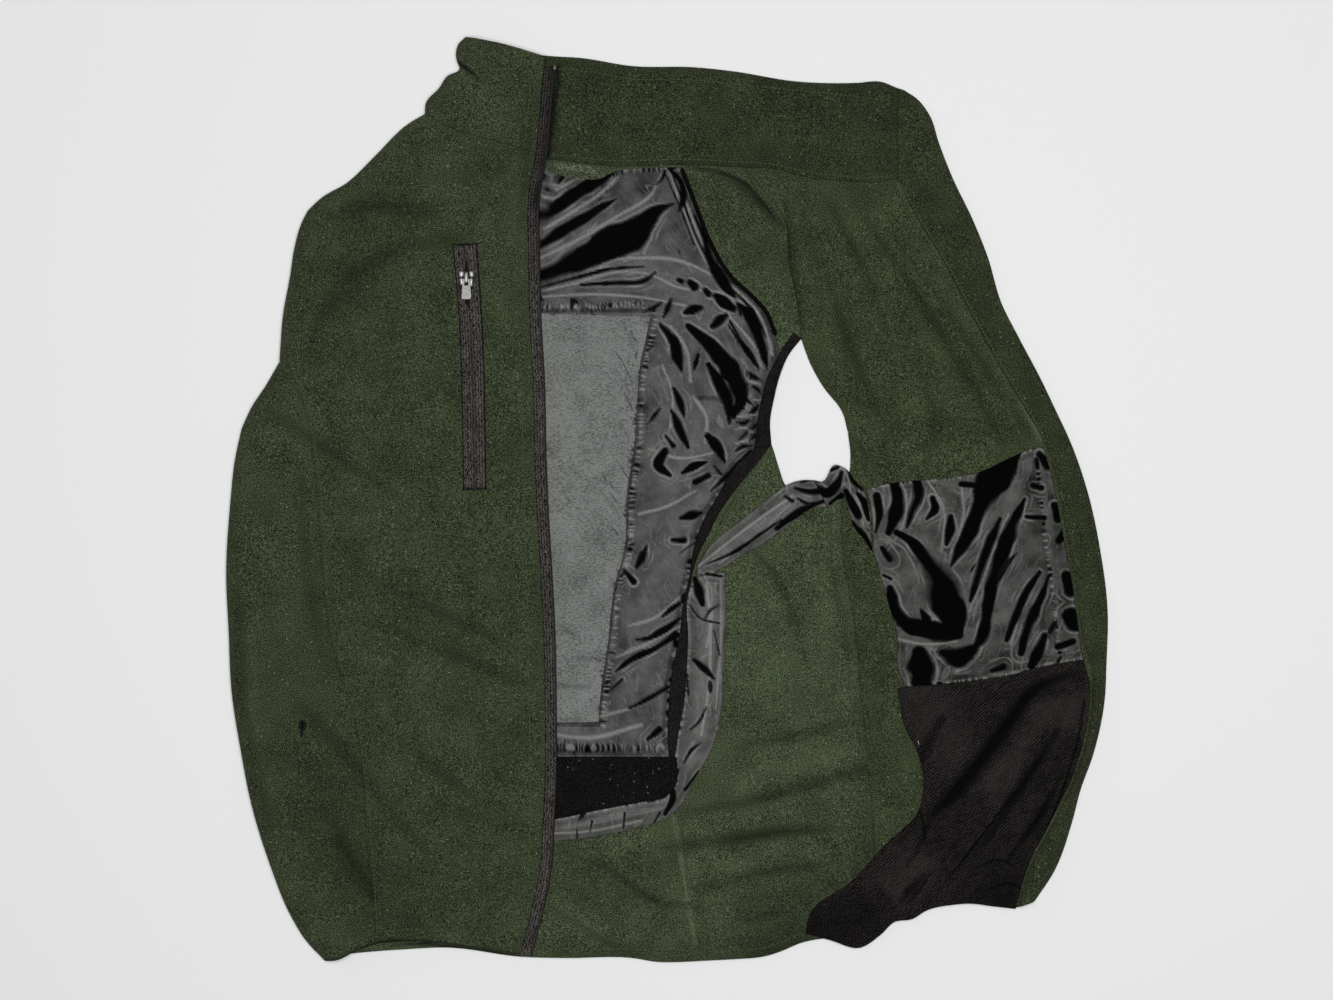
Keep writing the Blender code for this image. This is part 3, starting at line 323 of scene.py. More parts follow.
def stations(length: float, step: float, rim: Sequence[float] = (), coarse: float = 0.0,
             coarse_step: float = 12.0) -> Array:
    """Shares at which a grid gets its lines.

    Args:
        length: length that the grid spans, mm.
        step: usual spacing, mm.
        rim: distances from both ends that get a line of their own, mm.
        coarse: share from the start over which the spacing is coarse_step.
        coarse_step: spacing there, mm.

    Returns:
        Shares from 0 to 1.
    """
    first = np.zeros(1)
    if coarse:
        first = np.linspace(0.0, coarse, max(2, round(coarse * length / coarse_step)))
    rest = np.linspace(coarse, 1.0, max(2, round((1.0 - coarse) * length / step) + 1))
    near = np.array([d / length for d in rim])
    shares = np.unique(np.concatenate((first, rest, near, 1.0 - near)))
    apart = min([0.35 * step / length] + [0.8 * d / length for d in rim[:1]])
    kept = [0.0]
    for share in shares[1:]:
        if share - kept[-1] > apart:
            kept.append(float(share))
    kept[-1] = 1.0
    return np.array(kept)


def span(edges: Sequence[Array], u: Array, v: Array) -> Array:
    """Grid of x, y over a panel with four cut edges.

    Formula: the blend of the top and bottom edge, plus the blend of the left and right edge,
    less the blend of the four corners.

    Args:
        edges: top and bottom run left to right, right and left run top to bottom.
        u: shares across.
        v: shares down.

    Returns:
        Array of rows, columns and (x, y).
    """
    top, right, bottom, left = edges
    upper, lower = at(top, u)[None], at(bottom, u)[None]
    west, east = at(left, v)[:, None], at(right, v)[:, None]
    across, down = u[None, :, None], v[:, None, None]
    corners = ((1 - across) * (1 - down) * top[0] + across * (1 - down) * top[-1]
               + (1 - across) * down * bottom[0] + across * down * bottom[-1])
    return (1 - down) * upper + down * lower + (1 - across) * west + across * east - corners


# ------------------------------------------------------------------ folds
@dataclass(frozen=True)
class Swell:
    """Soft rounded ridge along a straight run."""

    x0: float
    y0: float
    x1: float
    y1: float
    half_width: float
    height: float

    def rise(self, x: Array, y: Array) -> Array:
        """Height times (1 - (distance / half width) squared) squared, zero beyond."""
        line = np.array(((self.x0, self.y0), (self.x1, self.y1)))
        q = nearest(line, x, y)[0] / self.half_width
        return self.height * np.clip(1.0 - q * q, 0.0, None) ** 2


@dataclass(frozen=True)
class Crease:
    """Steep-sided fold along a curved path that narrows and widens."""

    path: Sequence            # x, y and half width in turn, mm
    slope: float = 0.32       # fall of its flanks for each mm across
    lean: float = 0.0         # 1 falls from left to right only, -1 from right to left
    run_out: float = 5.0      # a leaning fold levels out over this many half widths

    def shading(self, x: Array, y: Array) -> tuple[Array, Array]:
        """Painted shade of the fold's inside and painted highlight of its rim, as shares.

        Formula: painted shade from the path to an uneven half width, over a border soft in
        patches;
        the painted highlight rim is a bell of 0.95 mm, 0.7 mm outside, broken in places, and now
        and then a second one 4.4 mm outside.  A negative slope makes a painted highlight line
        alone.
        """
        dark, rim = np.zeros(x.shape), np.zeros(x.shape)
        line = bend(np.reshape(self.path, (-1, 3)), 5)
        share, length = along(line)
        near = inside(line, line[:, 2].max() + 5.0, x, y)
        if not near.any():
            return dark, rim
        px, py = x[near], y[near]
        away, place, _ = nearest(line, px, py)
        half = np.interp(place / length, share, line[:, 2])
        half = half * (1.12 + 0.22 * ripple(px, py, 9.0, 4))
        if self.slope < 0.0:
            rim[near] = np.exp(-(away / np.maximum(half, 0.4)) ** 2)
            return dark, rim
        soft = (0.14 + 0.45 * np.clip(ripple(px, py, 19.0, 9), 0.0, 1.0)) * half + 0.4
        dark[near] = np.clip((half - away) / soft, 0.0, 1.0)
        out = away - half
        broken = np.clip(0.5 + 0.9 * ripple(px, py, 12.0, 5), 0.08, 1.0)
        second = np.clip(1.2 * ripple(px, py, 15.0, 3), 0.0, 0.7)
        lines = np.maximum(np.exp(-((out - 0.7) / 0.95) ** 2) * broken,
                           second * np.exp(-((out - 4.4) / 0.9) ** 2))
        rim[near] = lines * np.clip(half / 2.0, 0.0, 1.0)
        return dark, rim

    def rise(self, x: Array, y: Array) -> Array:
        """Depth of the fold.

        Formula: upright, slope times (half width at the nearest place on the path, less the
        distance to it), its foot rounded over a fifth of the width.  Leaning, the fall goes on
        across the whole width and comes back softly over the run-out.
        """
        out = np.zeros(x.shape)
        line = bend(np.reshape(self.path, (-1, 3)), 5)
        share, length = along(line)
        reach = line[:, 2].max() * (1.0 + (self.run_out if self.lean else 0.0))
        near = inside(line, reach, x, y)
        if not near.any():
            return out
        away, place, side = nearest(line, x[near], y[near])
        half = np.maximum(np.interp(place / length, share, line[:, 2]), 0.01)
        q = away / half
        if self.lean:
            q = -q * side * self.lean
            form = np.where(q < 1.0, q + 1.0, 2.0 * (1.0 - smooth((q - 1.0) / self.run_out)))
            form = np.where(q > -1.0, form, 0.0)
            ends = smooth(place / length / 0.12) * smooth((1.0 - place / length) / 0.12)
            out[near] = self.slope * half * np.clip(form, 0.0, None) * ends
        else:
            form = np.where(q < 0.2, 0.9 - 2.5 * q * q, 1.0 - q)
            out[near] = self.slope * half * np.clip(form, 0.0, None)
        return out


@dataclass(frozen=True)
class Gather:
    """Small puckers that a seam draws up, square to its line."""

    path: Table
    pitch: float              # spacing of the puckers, mm
    height: float
    reach: float              # how far from the line they fade, mm
    seed: int = 1

    def rise(self, x: Array, y: Array) -> Array:
        """Height times a raised sine along the line, its phase and size unsteady, fading off."""
        line = bend(self.path, 4)
        near = inside(line, 3 * self.reach, x, y)
        out = np.zeros(x.shape)
        if not near.any():
            return out
        away, place, side = nearest(line, x[near], y[near])
        drift = ripple(place, away * side * 0.6, 1.7 * self.pitch, self.seed)
        size = np.clip(0.42 + 0.72 * ripple(place, away * 0.2, 1.9 * self.pitch, self.seed + 7),
                       0.34, 1.0)
        wave = 0.5 + 0.5 * np.sin(2 * math.pi * (place / self.pitch + 1.25 * drift))
        out[near] = self.height * size * wave * np.exp(-(away / self.reach) ** 2)
        return out

    def shading(self, x: Array, y: Array) -> tuple[Array, Array]:
        """Painted shade on the puckers' floors and painted highlight on their crests, by height.
        """
        share = self.rise(x, y) / self.height
        near = np.exp(-(nearest(bend(self.path, 3), x, y)[0] / self.reach) ** 2)
        return (np.clip((share - 0.36) / 0.22, 0.0, 1.0),
                np.clip((0.12 * near - share) / 0.06, 0.0, 1.0) * near)


Fold = Swell | Crease | Gather


def gloss_shade(folds: Sequence[Fold], x: Array, y: Array) -> Array:
    """Painted shading of glossy cloth: 1 in the folds, down to -1 on their rims."""
    dark, rim = np.zeros(x.shape), np.zeros(x.shape)
    for fold in folds:
        inside, crest = (fold.rise(x, y), rim) if isinstance(fold, Swell) else fold.shading(x, y)
        dark, rim = np.maximum(dark, inside), np.maximum(rim, crest)
    return dark - (1.0 - dark) * rim


def relief(folds: Sequence[Fold], x: Array, y: Array) -> Array:
    """Summed height of folds."""
    total = np.zeros(x.shape)
    for fold in folds:
        total += fold.rise(x, y)
    return total


def swells(*rows: tuple[float, ...]) -> tuple[Swell, ...]:
    """Soft ridges from rows of from x, from y, to x, to y, half width, height."""
    return tuple(Swell(*row) for row in rows)


def creases(*paths: Sequence, slope: float = 0.32, lean: float = 0.0,
            run_out: float = 5.0) -> tuple[Crease, ...]:
    """Creases that share a slope and a lean, from paths of x, y and half width in turn."""
    return tuple(Crease(path, slope, lean, run_out) for path in paths)


FLOOR_FOLDS = swells((-80, -292, -15, -322, 20, 4.0), (40, -304, 98, -284, 25, 5.0),
    (50, -328, 82, -325, 17, 2.5), (156, -112, 156, -186, 15, 5.5), (95, -100, 108, -220, 38, 4.5),
    (72, -70, 118, -60, 20, 2.5), (190, 200, 246, 100, 36, 4.0), (99, 232, 111, 142, 14, 4.5),
    (160, 80, 168, 58, 14, 4.0), (150, 190, 196, 120, 26, 2.5), (175, 80, 250, 62, 18, 2.5))
FRONT_FOLDS = swells((-262, 186, -222, 200, 36, 5.0), (-278, 118, -224, 142, 28, 4.5),
    (-218, 30, -212, -190, 42, 3.5), (-250, -238, -158, -296, 48, 5.0),
    (-136, -60, -130, -180, 26, 2.0), (-150, 250, -200, 246, 30, 3.0))


# ------------------------------------------------------- creases: x, y and half width in turn
# soft folds of the fleece: slope small, so they shade rather than break the surface
RIGHT_PATHS = ((-150, 197, 6, -163, 199, 8, -206, 194, 9, -252, 163, 8, -271, 134, 6),
    (-214, 176, 3, -240, 162, 6, -264, 140, 6, -279, 103, 4), (-262, 218, 6, -225, 226, 12,
    -180, 221, 7), (-306, 70, 5, -268, 44, 8, -196, -4, 4), (-248, -48, 3, -205, -72, 8,
    -160, -92, 8, -110, -118, 4), (-234, -86, 3, -190, -108, 7, -150, -124, 7, -104, -143, 4),
    (-290, -150, 5, -256, -184, 9, -222, -226, 9, -186, -268, 6), (-262, -236, 6, -246, -270, 12,
    -226, -304, 10), (-210, -180, 4, -170, -212, 7, -142, -232, 3), (-103, 330, 2, -107, 290, 6,
    -110, 250, 6, -116, 200, 3), (-282, 30, 3, -276, -60, 6, -262, -140, 4), (-330, -60, 5,
    -326, -160, 8, -306, -250, 6))
LEFT_PATHS = ((90, 240, 3, 93, 207, 5, 95, 186, 4, 100, 156, 4, 104, 132, 3), (146, 226, 3,
    186, 168, 6, 228, 100, 7, 258, 44, 4), (171, 208, 3, 214, 148, 5, 252, 90, 6, 280, 50, 3),
    (118, 186, 3, 140, 120, 7, 164, 62, 4), (196, 96, 3, 206, 60, 6, 198, 24, 3), (281, 20, 3,
    306, -44, 5, 318, -110, 4), (120, 236, 3, 150, 180, 6, 172, 120, 3))
BACK_PATHS = ((10, -240, 3, 60, -232, 7, 110, -218, 7, 164, -202, 4), (-14, -268, 3, 40, -262, 7,
    98, -254, 7, 142, -252, 3), (20, -300, 3, 70, -286, 5, 118, -280, 4), (172, -104, 3,
    166, -119, 5, 164, -151, 6, 168, -180, 5, 171, -199, 3), (9, 260, 2, 36, 253, 4, 48, 248, 4,
    77, 222, 5, 90, 208, 3), (124, -14, 2, 128, -60, 4, 136, -100, 4, 140, -150, 3), (-94, -310, 2,
    -49, -338, 4, -28, -349, 2), (52, -324, 2, 70, -320, 4, 94, -315, 2), (-88, -266, 2,
    -43, -285, 4, -6, -309, 5, 26, -312, 3), (60, -30, 3, 90, -70, 6, 104, -120, 3), (50, -190, 3,
    100, -180, 7, 150, -168, 3), (-222, -342, 2, -194, -340.5, 2.4, -167, -343, 2.4,
    -141, -347, 2.4, -115, -350, 2), (-83, 336, 2.4, -86, 318, 3.4, -89, 290, 3.6, -92, 264, 3.2),
    (168, 250, 2, 172, 290, 3, 173, 316, 2))
# painted shade: broad zones where the back fleece is drawn darker, mostly towards the hem
BACK_BROAD_SHADE = swells((150, -300, 90, -330, 62, 0.42), (176, -150, 170, -270, 44, 0.34),
    (-70, -285, -20, -300, 36, 0.24), (-80, -350, 160, -350, 22, 0.2),
    (60, -255, 120, -240, 26, 0.14), (30, -300, 100, -276, 16, 0.14),
    (96, 318, 176, 300, 44, 0.16), (52, 246, 92, 176, 44, 0.24), (16, 250, 60, 180, 22, 0.16))
# painted highlights: LEFT_LIGHTS and BACK_LIGHTS lighten the colour along seam ridges and some
# broad crests
LEFT_LIGHTS = swells((179, 245, 205, 198, 3.0, 0.2), (205, 198, 238, 151, 3.2, 0.24),
    (238, 151, 287, 47, 3.2, 0.24), (300, -120, 318, -150, 4, 0.1),
    (318, -150, 296, -246, 3, 0.14))
BACK_LIGHTS = swells((4.9, -243.8, 10.4, -276.2, 2.6, 0.26), (10.4, -276.2, 22, -349, 2.6, 0.26),
    (50, -84, 100, -150, 46, 0.04), (60, -214, 150, -190, 12, 0.07),
    (60, -246, 130, -240, 9, 0.07), (40, -284, 110, -268, 10, 0.06))
# painted shade: broad zones where the closed front is drawn darker
RIGHT_BROAD_SHADE = swells((-262, -215, -212, -330, 52, 0.22), (-250, 180, -215, 215, 40, 0.1),
    (-246, 176, -196, 126, 62, 0.07), (-262, 40, -262, -60, 26, 0.08),
    (-150, 252, -110, 262, 22, 0.12))
# painted shade on the chest zip's welt: dark lines along its edges, and WELT_OPEN darkens the gaps
# where the coil parts above and below the slider
WELT_SHADES = creases(
    *(tuple((x, y, 1.6) for x, y in edge) for edge in (CHEST_ZIP_LEFT, CHEST_ZIP_RIGHT)),
    (-165, 196.4, 1.4, -146, 197, 1.4), (-157, 9, 1.4, -139, 10, 1.4), slope=0.8)
WELT_OPEN = creases((-154.2, 187, 0.3, -154.1, 175, 2.0), (-153.4, 156, 2.2, -153, 151, 1.6),
    slope=2.0)
# the zip tape drawn darker towards the collar, through the shade attribute
TAPE_DARKENING = swells((-91, 332, -98, 232, 17, 0.66), (-98, 236, -104, 180, 12, 0.24))
BAG_PATHS = ((316, -131, 3, 285, -143, 7, 261, -173, 8, 242, -198, 8, 221, -224, 8, 206, -240, 4),
    (220, -212, 1.5, 203, -240, 3, 196, -261, 3, 184, -281, 1.5), (197, -288, 2, 188, -298, 5,
    180, -309, 3), (300, -176, 3, 276, -214, 6, 244, -262, 4), (270, -218, 1, 234, -268, 1.6,
    210, -298, 1), (212, -166, 3, 196, -196, 5, 188, -222, 3), (306, -206, 2, 288, -240, 5,
    262, -276, 3))
# painted highlights on the bag's broad crests
BAG_LIGHTS = swells((300, -150, 226, -252, 24, 0.15), (330, -150, 262, -276, 20, 0.13),
    (222, -256, 130, -340, 24, 0.14), (186, -140, 232, -206, 30, 0.1),
    (258, -200, 232, -236, 8, 0.08), (284, -222, 262, -262, 7, 0.07),
    (312, -156, 300, -180, 8, 0.07))
BAG_FOLDS = creases(*BAG_PATHS, slope=0.24)
BAG_SHADES = (creases(*BAG_PATHS, slope=0.16) + swells((112, -332, 152, -318, 30, 0.62),
    (262, -168, 214, -256, 24, 0.16), (300, -196, 262, -300, 30, 0.34),
    (226, -250, 250, -310, 40, 0.3), (180, -214, 200, -262, 16, 0.2),
    (312, -140, 262, -150, 12, 0.2)) + creases((208.7, -299.6, 0.9, 240, -259, 1.3,
    269, -222, 0.8), (183, -310, 0.9, 194, -299, 1.5, 202, -286, 0.8), (321, -152, 1.2,
    316, -182, 1.5, 304, -222, 1.5, 289, -262, 1.5, 280, -292, 1.5, 275, -311, 1.1),
    (176, -218, 0.9, 194, -238, 1.4, 198, -262, 0.9), (236, -282, 0.9, 256, -276, 1.4,
    268, -282, 0.9), (244, -300, 0.9, 262, -294, 1.3, 276, -300, 0.9), slope=0.7))
RIGHT_FOLDS, LEFT_FOLDS = creases(*RIGHT_PATHS, slope=0.12), creases(*LEFT_PATHS, slope=0.14)
BACK_FOLDS = creases(*BACK_PATHS[:-3], slope=0.14)
# The *_SHADES tables are painted shade: through the shade attribute they darken the colour along
# the folds, over the folds' own shading. RIGHT_SHADES also paints the crease where the collar
# meets the shoulder, and a painted shadow along the closed front's hem.
RIGHT_SHADES = (creases(*RIGHT_PATHS, slope=0.045) + RIGHT_BROAD_SHADE + creases((-162, 338, 2.2,
    -152, 330, 2.6, -141, 320, 1.2), (-263, -354, 2.6, -254, -353, 2.2, -238, -345, 1.9,
    -224, -340, 1.9, -194, -338, 1.9, -167, -341, 1.9, -141, -345, 1.9, -114, -348, 1.4),
    slope=0.5))
LEFT_SHADES = (creases(*LEFT_PATHS, slope=0.075) + creases((90.6, 241, 1.2, 93.2, 207, 2.2,
    95.4, 180, 2.2, 101, 138, 1.8), slope=0.16))
# BACK_SHADES paints, darker, the shadows that the closed front's hem and the zip tape cast on the
# back and the collar, and a dark crease by the left shoulder
BACK_SHADES = (creases(*BACK_PATHS[:-3], BACK_PATHS[-1], slope=0.09) + creases(*BACK_PATHS[-3:-1],
    slope=0.45) + BACK_BROAD_SHADE + creases((16, 256.6, 0.8, 42, 253, 2.0, 62, 243, 2.6, 77, 226, 2.6,
    91, 211, 1.4), slope=0.29))
PAD_LINE = ((-110, 146), (-60, 145), (-14, 142), *PAD_RIGHT[1:7], (-40, -68), (-45, -112),
    (-50, -145), (-53, -169), (-112, -170))
# painted shade on the pad cover: puckers along its seam, and small wrinkles near it, in its colour
# only, not in its mesh
PAD_GATHERS = (Gather(PAD_LINE, 3.6, 1.1, 5.2, 12), Gather(PAD_LINE, 2.3, 0.8, 3.0, 4))
PAD_PUCKER_SHADE = (swells((-34, 138, -32, 131, 2.2, 0.5), (-84, -142, -61, -143, 3.4, 0.42),
    (-69.5, -121, -48, -121, 3.0, 0.36), (-80, -98, -70, -104, 3.2, 0.4),
    (-33, 92, -27, 78, 1.8, 0.4), (-38, 62, -30, 50, 2.2, 0.3), (-44, -58, -38, -74, 2.4, 0.34),
    (-44, -2, -34, -16, 3.0, 0.26), (-52, 8, -38, -8, 2.2, 0.3), (-92, -168, -58, -168, 2.6, 0.3),
    (-28, 126, -22, 104, 2.4, 0.28), (-30, 108, -26, 84, 2.0, 0.24)) + creases((-42, 118, 0.5,
    -33, 104, 0.7, -28, 92, 0.5), (-45, 8, 0.5, -36, -6, 0.6), (-22, 118, 0.6, -27, 104, 0.6),
    (-60, -153, 0.5, -53, -150, 0.7), (-28, 130, 0.6, -24, 122, 0.8),
    (-33, 84, 0.5, -27, 70, 0.8), (-29, 66, 0.5, -25, 54, 0.8), (-52, 22, 0.4, -38, 6, 0.7),
    (-38, 30, 0.5, -29, 16, 0.7), (-48, -12, 0.4, -38, -26, 0.6), (-45, -86, 0.5, -41, -98, 0.8),
    (-58, -120, 0.5, -49, -124, 0.8), (-24, 148, 0.6, -30, 139, 0.7)))
LINING_TOP_GATHER = ((-43, 253), (-21, 256), (7, 257))
LINING_FOOT = ((-110, -189), (-60, -190), (1, -190))
DIAGONAL_GATHER = ((60, 34), (38, 3), (20, -37), (12, -79), (4, -128), (0, -176))
PAD_SEAM = ((-110, 149), (-60, 149), (-10, 146), (-13, 123), (-17, 105), (-20, 78), (-22, 38),
    (-27, 8), (-29, -37), (-37, -68), (-42, -112), (-47, -145), (-50, -172))
PATCH_PUCKER = ((284, 32), (287, 4), (290, -24), (295, -60), (299, -92), (302, -118))
# along the piping
PIPING_CREASES = ((2.6, 255, 0.7, 13, 227.3, 1.0, 24.3, 198.5, 1.0, 42, 169.6, 1.1,
    56.2, 156.2, 1.2, 67.6, 143.8, 1.2, 75.2, 126.2, 0.9), (-2, 252, 0.6, 9.4, 226, 0.9,
    20.6, 197, 0.9))
# slanting folds under the neck
NECK_CREASES = ((-108, 213, 6, -97, 219, 6, -73, 235, 5, -52, 248, 5, -44, 254, 4),
    (-110, 191, 3.6, -98, 197, 4, -82, 207, 4.4, -63, 218, 4.2, -51, 226, 3, -38, 233, 0.6),
    (-108, 246, 2.6, -96, 250, 3), (-94, 238, 1, -84, 246, 2, -78, 252, 1), (-97, 164.5, 1,
    -72, 171, 1.6, -44, 178, 1.6, -18, 180, 1), (-9, 243, 0.8, -4.4, 247, 1.5, -2, 254, 1.2),
    (1, 256, 1.2, 11, 244, 2.4, 11.5, 229, 2.6, 8, 222, 0.8), (-67, 166, 1, -40, 167.5, 1.8,
    -16, 170, 2, -9, 176, 1.2))
# under the round ridge and along the piping
RIDGE_CREASES = ((8, 170, 2, 11, 168.5, 2.4), (17, 168, 2.4, 20.5, 164.5, 3.6),
    (29, 162, 2, 32, 159, 2.6), (37, 158, 2.5, 43, 153, 4, 51, 148, 3), (54, 152, 1.6,
    63.5, 141.5, 4.6, 70.5, 126, 4, 75.5, 107.5, 2.4, 77, 101, 1), (21, 219, 1, 28, 203, 2,
    33, 185.5, 3.5, 41.6, 170, 5, 52, 157, 1.6))
# beside the pad
PAD_CREASES = ((-19, 145, 0.8, -10, 149, 2, -5, 152.4, 1.2), (-3, 141.4, 1.2, 0, 148, 2.4,
    2.7, 155, 1.2), (13.7, 145, 2, 20, 147.5, 4, 26, 148.5, 2), (35, 134.6, 3, 40, 138.5, 4.2,
    45, 142.5, 2), (-6, 136, 1.5, 4.4, 123, 4, 8, 110, 4.4, 11, 99, 1), (46, 136, 0.8, 57, 121, 2,
    66, 108, 2.4, 70.3, 101, 0.8))
# puckers that the armhole's binding draws up
ARMHOLE_CREASES = ((61, 100, 0.8, 66, 95.4, 2.6, 71.6, 93.4, 1.0), (54, 83, 0.6, 60.6, 87, 1.4),
    (65, 88.4, 0.8, 69, 86, 2.0, 72, 82, 0.8), (56, 79.6, 0.8, 61, 77.4, 2.0, 65.6, 74, 0.8),
    (51, 68, 0.8, 56, 71, 1.6, 60, 70, 0.8), (62.6, 67, 0.8, 66, 69.6, 2.2, 70, 73.6, 1.0),
    (53, 61, 0.8, 58.6, 60, 2.2, 64, 62.4, 0.8), (62, 55, 0.8, 66.6, 57, 1.6, 70, 61, 0.8),
    (55, 47, 0.8, 59.6, 51.4, 1.6, 62, 55, 0.6), (63, 46, 0.6, 67, 50, 2.0, 69, 53, 0.8),
    (52, 38, 0.8, 58, 42, 1.9, 65, 42.6, 1.0))
# from the armhole down to the foot
FOOT_CREASES = ((31.5, 105, 2, 40, 90.6, 5, 46.7, 75.4, 4.5, 47.5, 60, 1.5), (20.5, 101.6, 1.5,
    22, 107, 2.2, 23.8, 112.6, 1.2), (4.4, 87, 1.5, 9.5, 75.4, 3.2, 13, 64.4, 0.8), (-15, 59, 0.8,
    -9, 67, 2, -5, 72, 0.8), (2.7, 70, 1.5, 9.5, 55, 3.5, 16, 41.5, 1.5),
    (-1.5, 50, 1.2, 4.4, 42.4, 2), (30.6, 50, 2.5, 38, 41.5, 4.8, 44, 29.7, 1.2), (-2, 38.5, 3,
    -7.4, 28, 4, 2, 19.6, 1.5), (11.5, 21.7, 1.5, 21, 27, 3, 30.4, 30, 1),
    (35.7, 27, 1.2, 41, 20.6, 1.2), (21, 14.3, 2.5, 31.4, 19.6, 2.5), (33.6, 8, 1, 48.3, 21.7, 2.4,
    64, 39, 1.2), (10.4, -13, 2, 19, -11, 4, 26, -9, 2), (4, -30, 2, 12.5, -30, 3),
    (9.4, -40.4, 0.8, 21, -32, 1.2), (-24, -51, 1.5, -19, -41.4, 3.2, -16, -34, 1),
    (-33.7, -53, 1.5, -26, -62, 2.6), (-4, -88.7, 1, 4, -82.4, 2, 12.5, -77, 1), (-24, -106.6, 1,
    -15, -105.5, 1.8, -4, -100, 3, 10, -90, 1.2), (-40, -131, 1, -25, -120, 2.8, -13, -115, 2,
    6, -103.4, 3.2), (-29.5, -159, 1, -15, -152, 2, 0, -143.4, 2.4),
    (-44, -145.5, 0.8, -35, -137, 1.4), (-15, -183, 1.5, -6.4, -176, 2.8))
# the two broad falls
BROAD_FALL = (-104, 171, 4, -97, 173.5, 5.5, -84, 178, 7, -71, 184, 9, -56, 191, 11, -40, 199, 13,
    -27, 206, 13, -18, 213, 9, -9, 222, 4.6, 5, 228.4, 1)
RIDGE_FALL = (15.5, 134.6, 2, 31, 121.5, 5, 44, 107, 7, 52, 93, 7.5, 57, 80, 6, 51, 64, 1.6)
# painted highlight lines along crests, which also raise the cloth a little
CREST_LINES = ((-96, 171.4, 1.2, -74, 180, 1, -48, 184.5, 1, -20, 186.5, 1.3, 8, 184.7, 1.5,
    34, 174, 1.4, 54, 161.5, 1.2, 71, 141.6, 1.2, 81, 112, 1), (4.4, 256, 0.8, 15.4, 228, 0.9,
    26.4, 199.5, 0.9, 43.8, 171.2, 0.9, 58, 158, 0.9, 69.6, 145.4, 0.9, 77.4, 127, 0.8,
    80, 113, 0.8), (0.6, 254, 0.8, 11.4, 226.6, 0.9, 22.6, 197.8, 0.9, 40.4, 168.2, 0.9,
    54.6, 154.8, 0.9, 66, 142.4, 0.9, 73.2, 125.4, 0.8, 76, 112, 0.7), (-96, 161.5, 1,
    -71, 167, 1.2, -40, 175.7, 1.2, -14, 174, 1.2, 8, 164, 1.3, 34, 160, 1.3, 48, 142, 1.2,
    67, 119, 1.2, 78, 102, 1), (-96, 157, 1, -57, 158.7, 1.1, -17, 156, 1, 14, 150, 1),
    (-104, 228, 1, -84, 240, 1.2, -66, 250, 1), (-104, 204, 1.2, -76, 220, 1.4, -50, 238, 1.2,
    -36, 252, 1), (-104, 184, 1.2, -70, 200, 1.6, -40, 218, 1.5, -12, 236, 1.2, -4, 252, 1),
    (50, 91, 0.9, 60, 92.6, 1.1, 72, 89.6, 0.9), (48, 74, 0.9, 56, 75, 1.1, 64, 81.6, 0.9),
    (49, 64, 0.9, 60, 65.6, 1.1, 69, 67, 0.9), (52, 55, 0.8, 60, 56, 1, 66, 52.4, 0.8),
    (66, 78.6, 0.8, 70, 77.4, 1, 72, 78, 0.8), (52, 44, 0.8, 60, 46.4, 1, 66, 46.4, 0.8),
    (-18, 190, 1, -14, 204, 1.2, -18, 214, 1), (14, 226, 1.2, 24, 206, 1.2, 36, 178, 1),
    (2, 134, 1.2, 14, 118, 1.4, 18, 92, 1.2), (26, 128, 1.2, 38, 106, 1.4, 36, 84, 1), (-4, 104, 1,
    4, 82, 1.2, 2, 56, 1), (20, 80, 1.2, 30, 64, 1.4, 28, 44, 1), (-14, 40, 1, 8, 33, 1.2,
    40, 38, 1), (-22, -10, 1, 0, -4, 1.2, 22, 8, 1), (-30, -96, 1, -10, -90, 1.4, 12, -72, 1),
    (-40, -120, 1, -16, -110, 1.4, 10, -96, 1), (-96, -178, 1.2, -60, -182, 1.6, -20, -172, 1.4),
    (-100, -164, 1, -68, -168, 1.3, -30, -160, 1))
LINING_CREASES = (creases(*PIPING_CREASES, *NECK_CREASES, *RIDGE_CREASES, *PAD_CREASES,
    *ARMHOLE_CREASES, *FOOT_CREASES) + creases(BROAD_FALL, slope=0.14, lean=-1.0, run_out=4.0) +
    creases(*CREST_LINES, slope=-0.2) + creases(RIDGE_FALL, slope=0.2, lean=1.0, run_out=5.0))
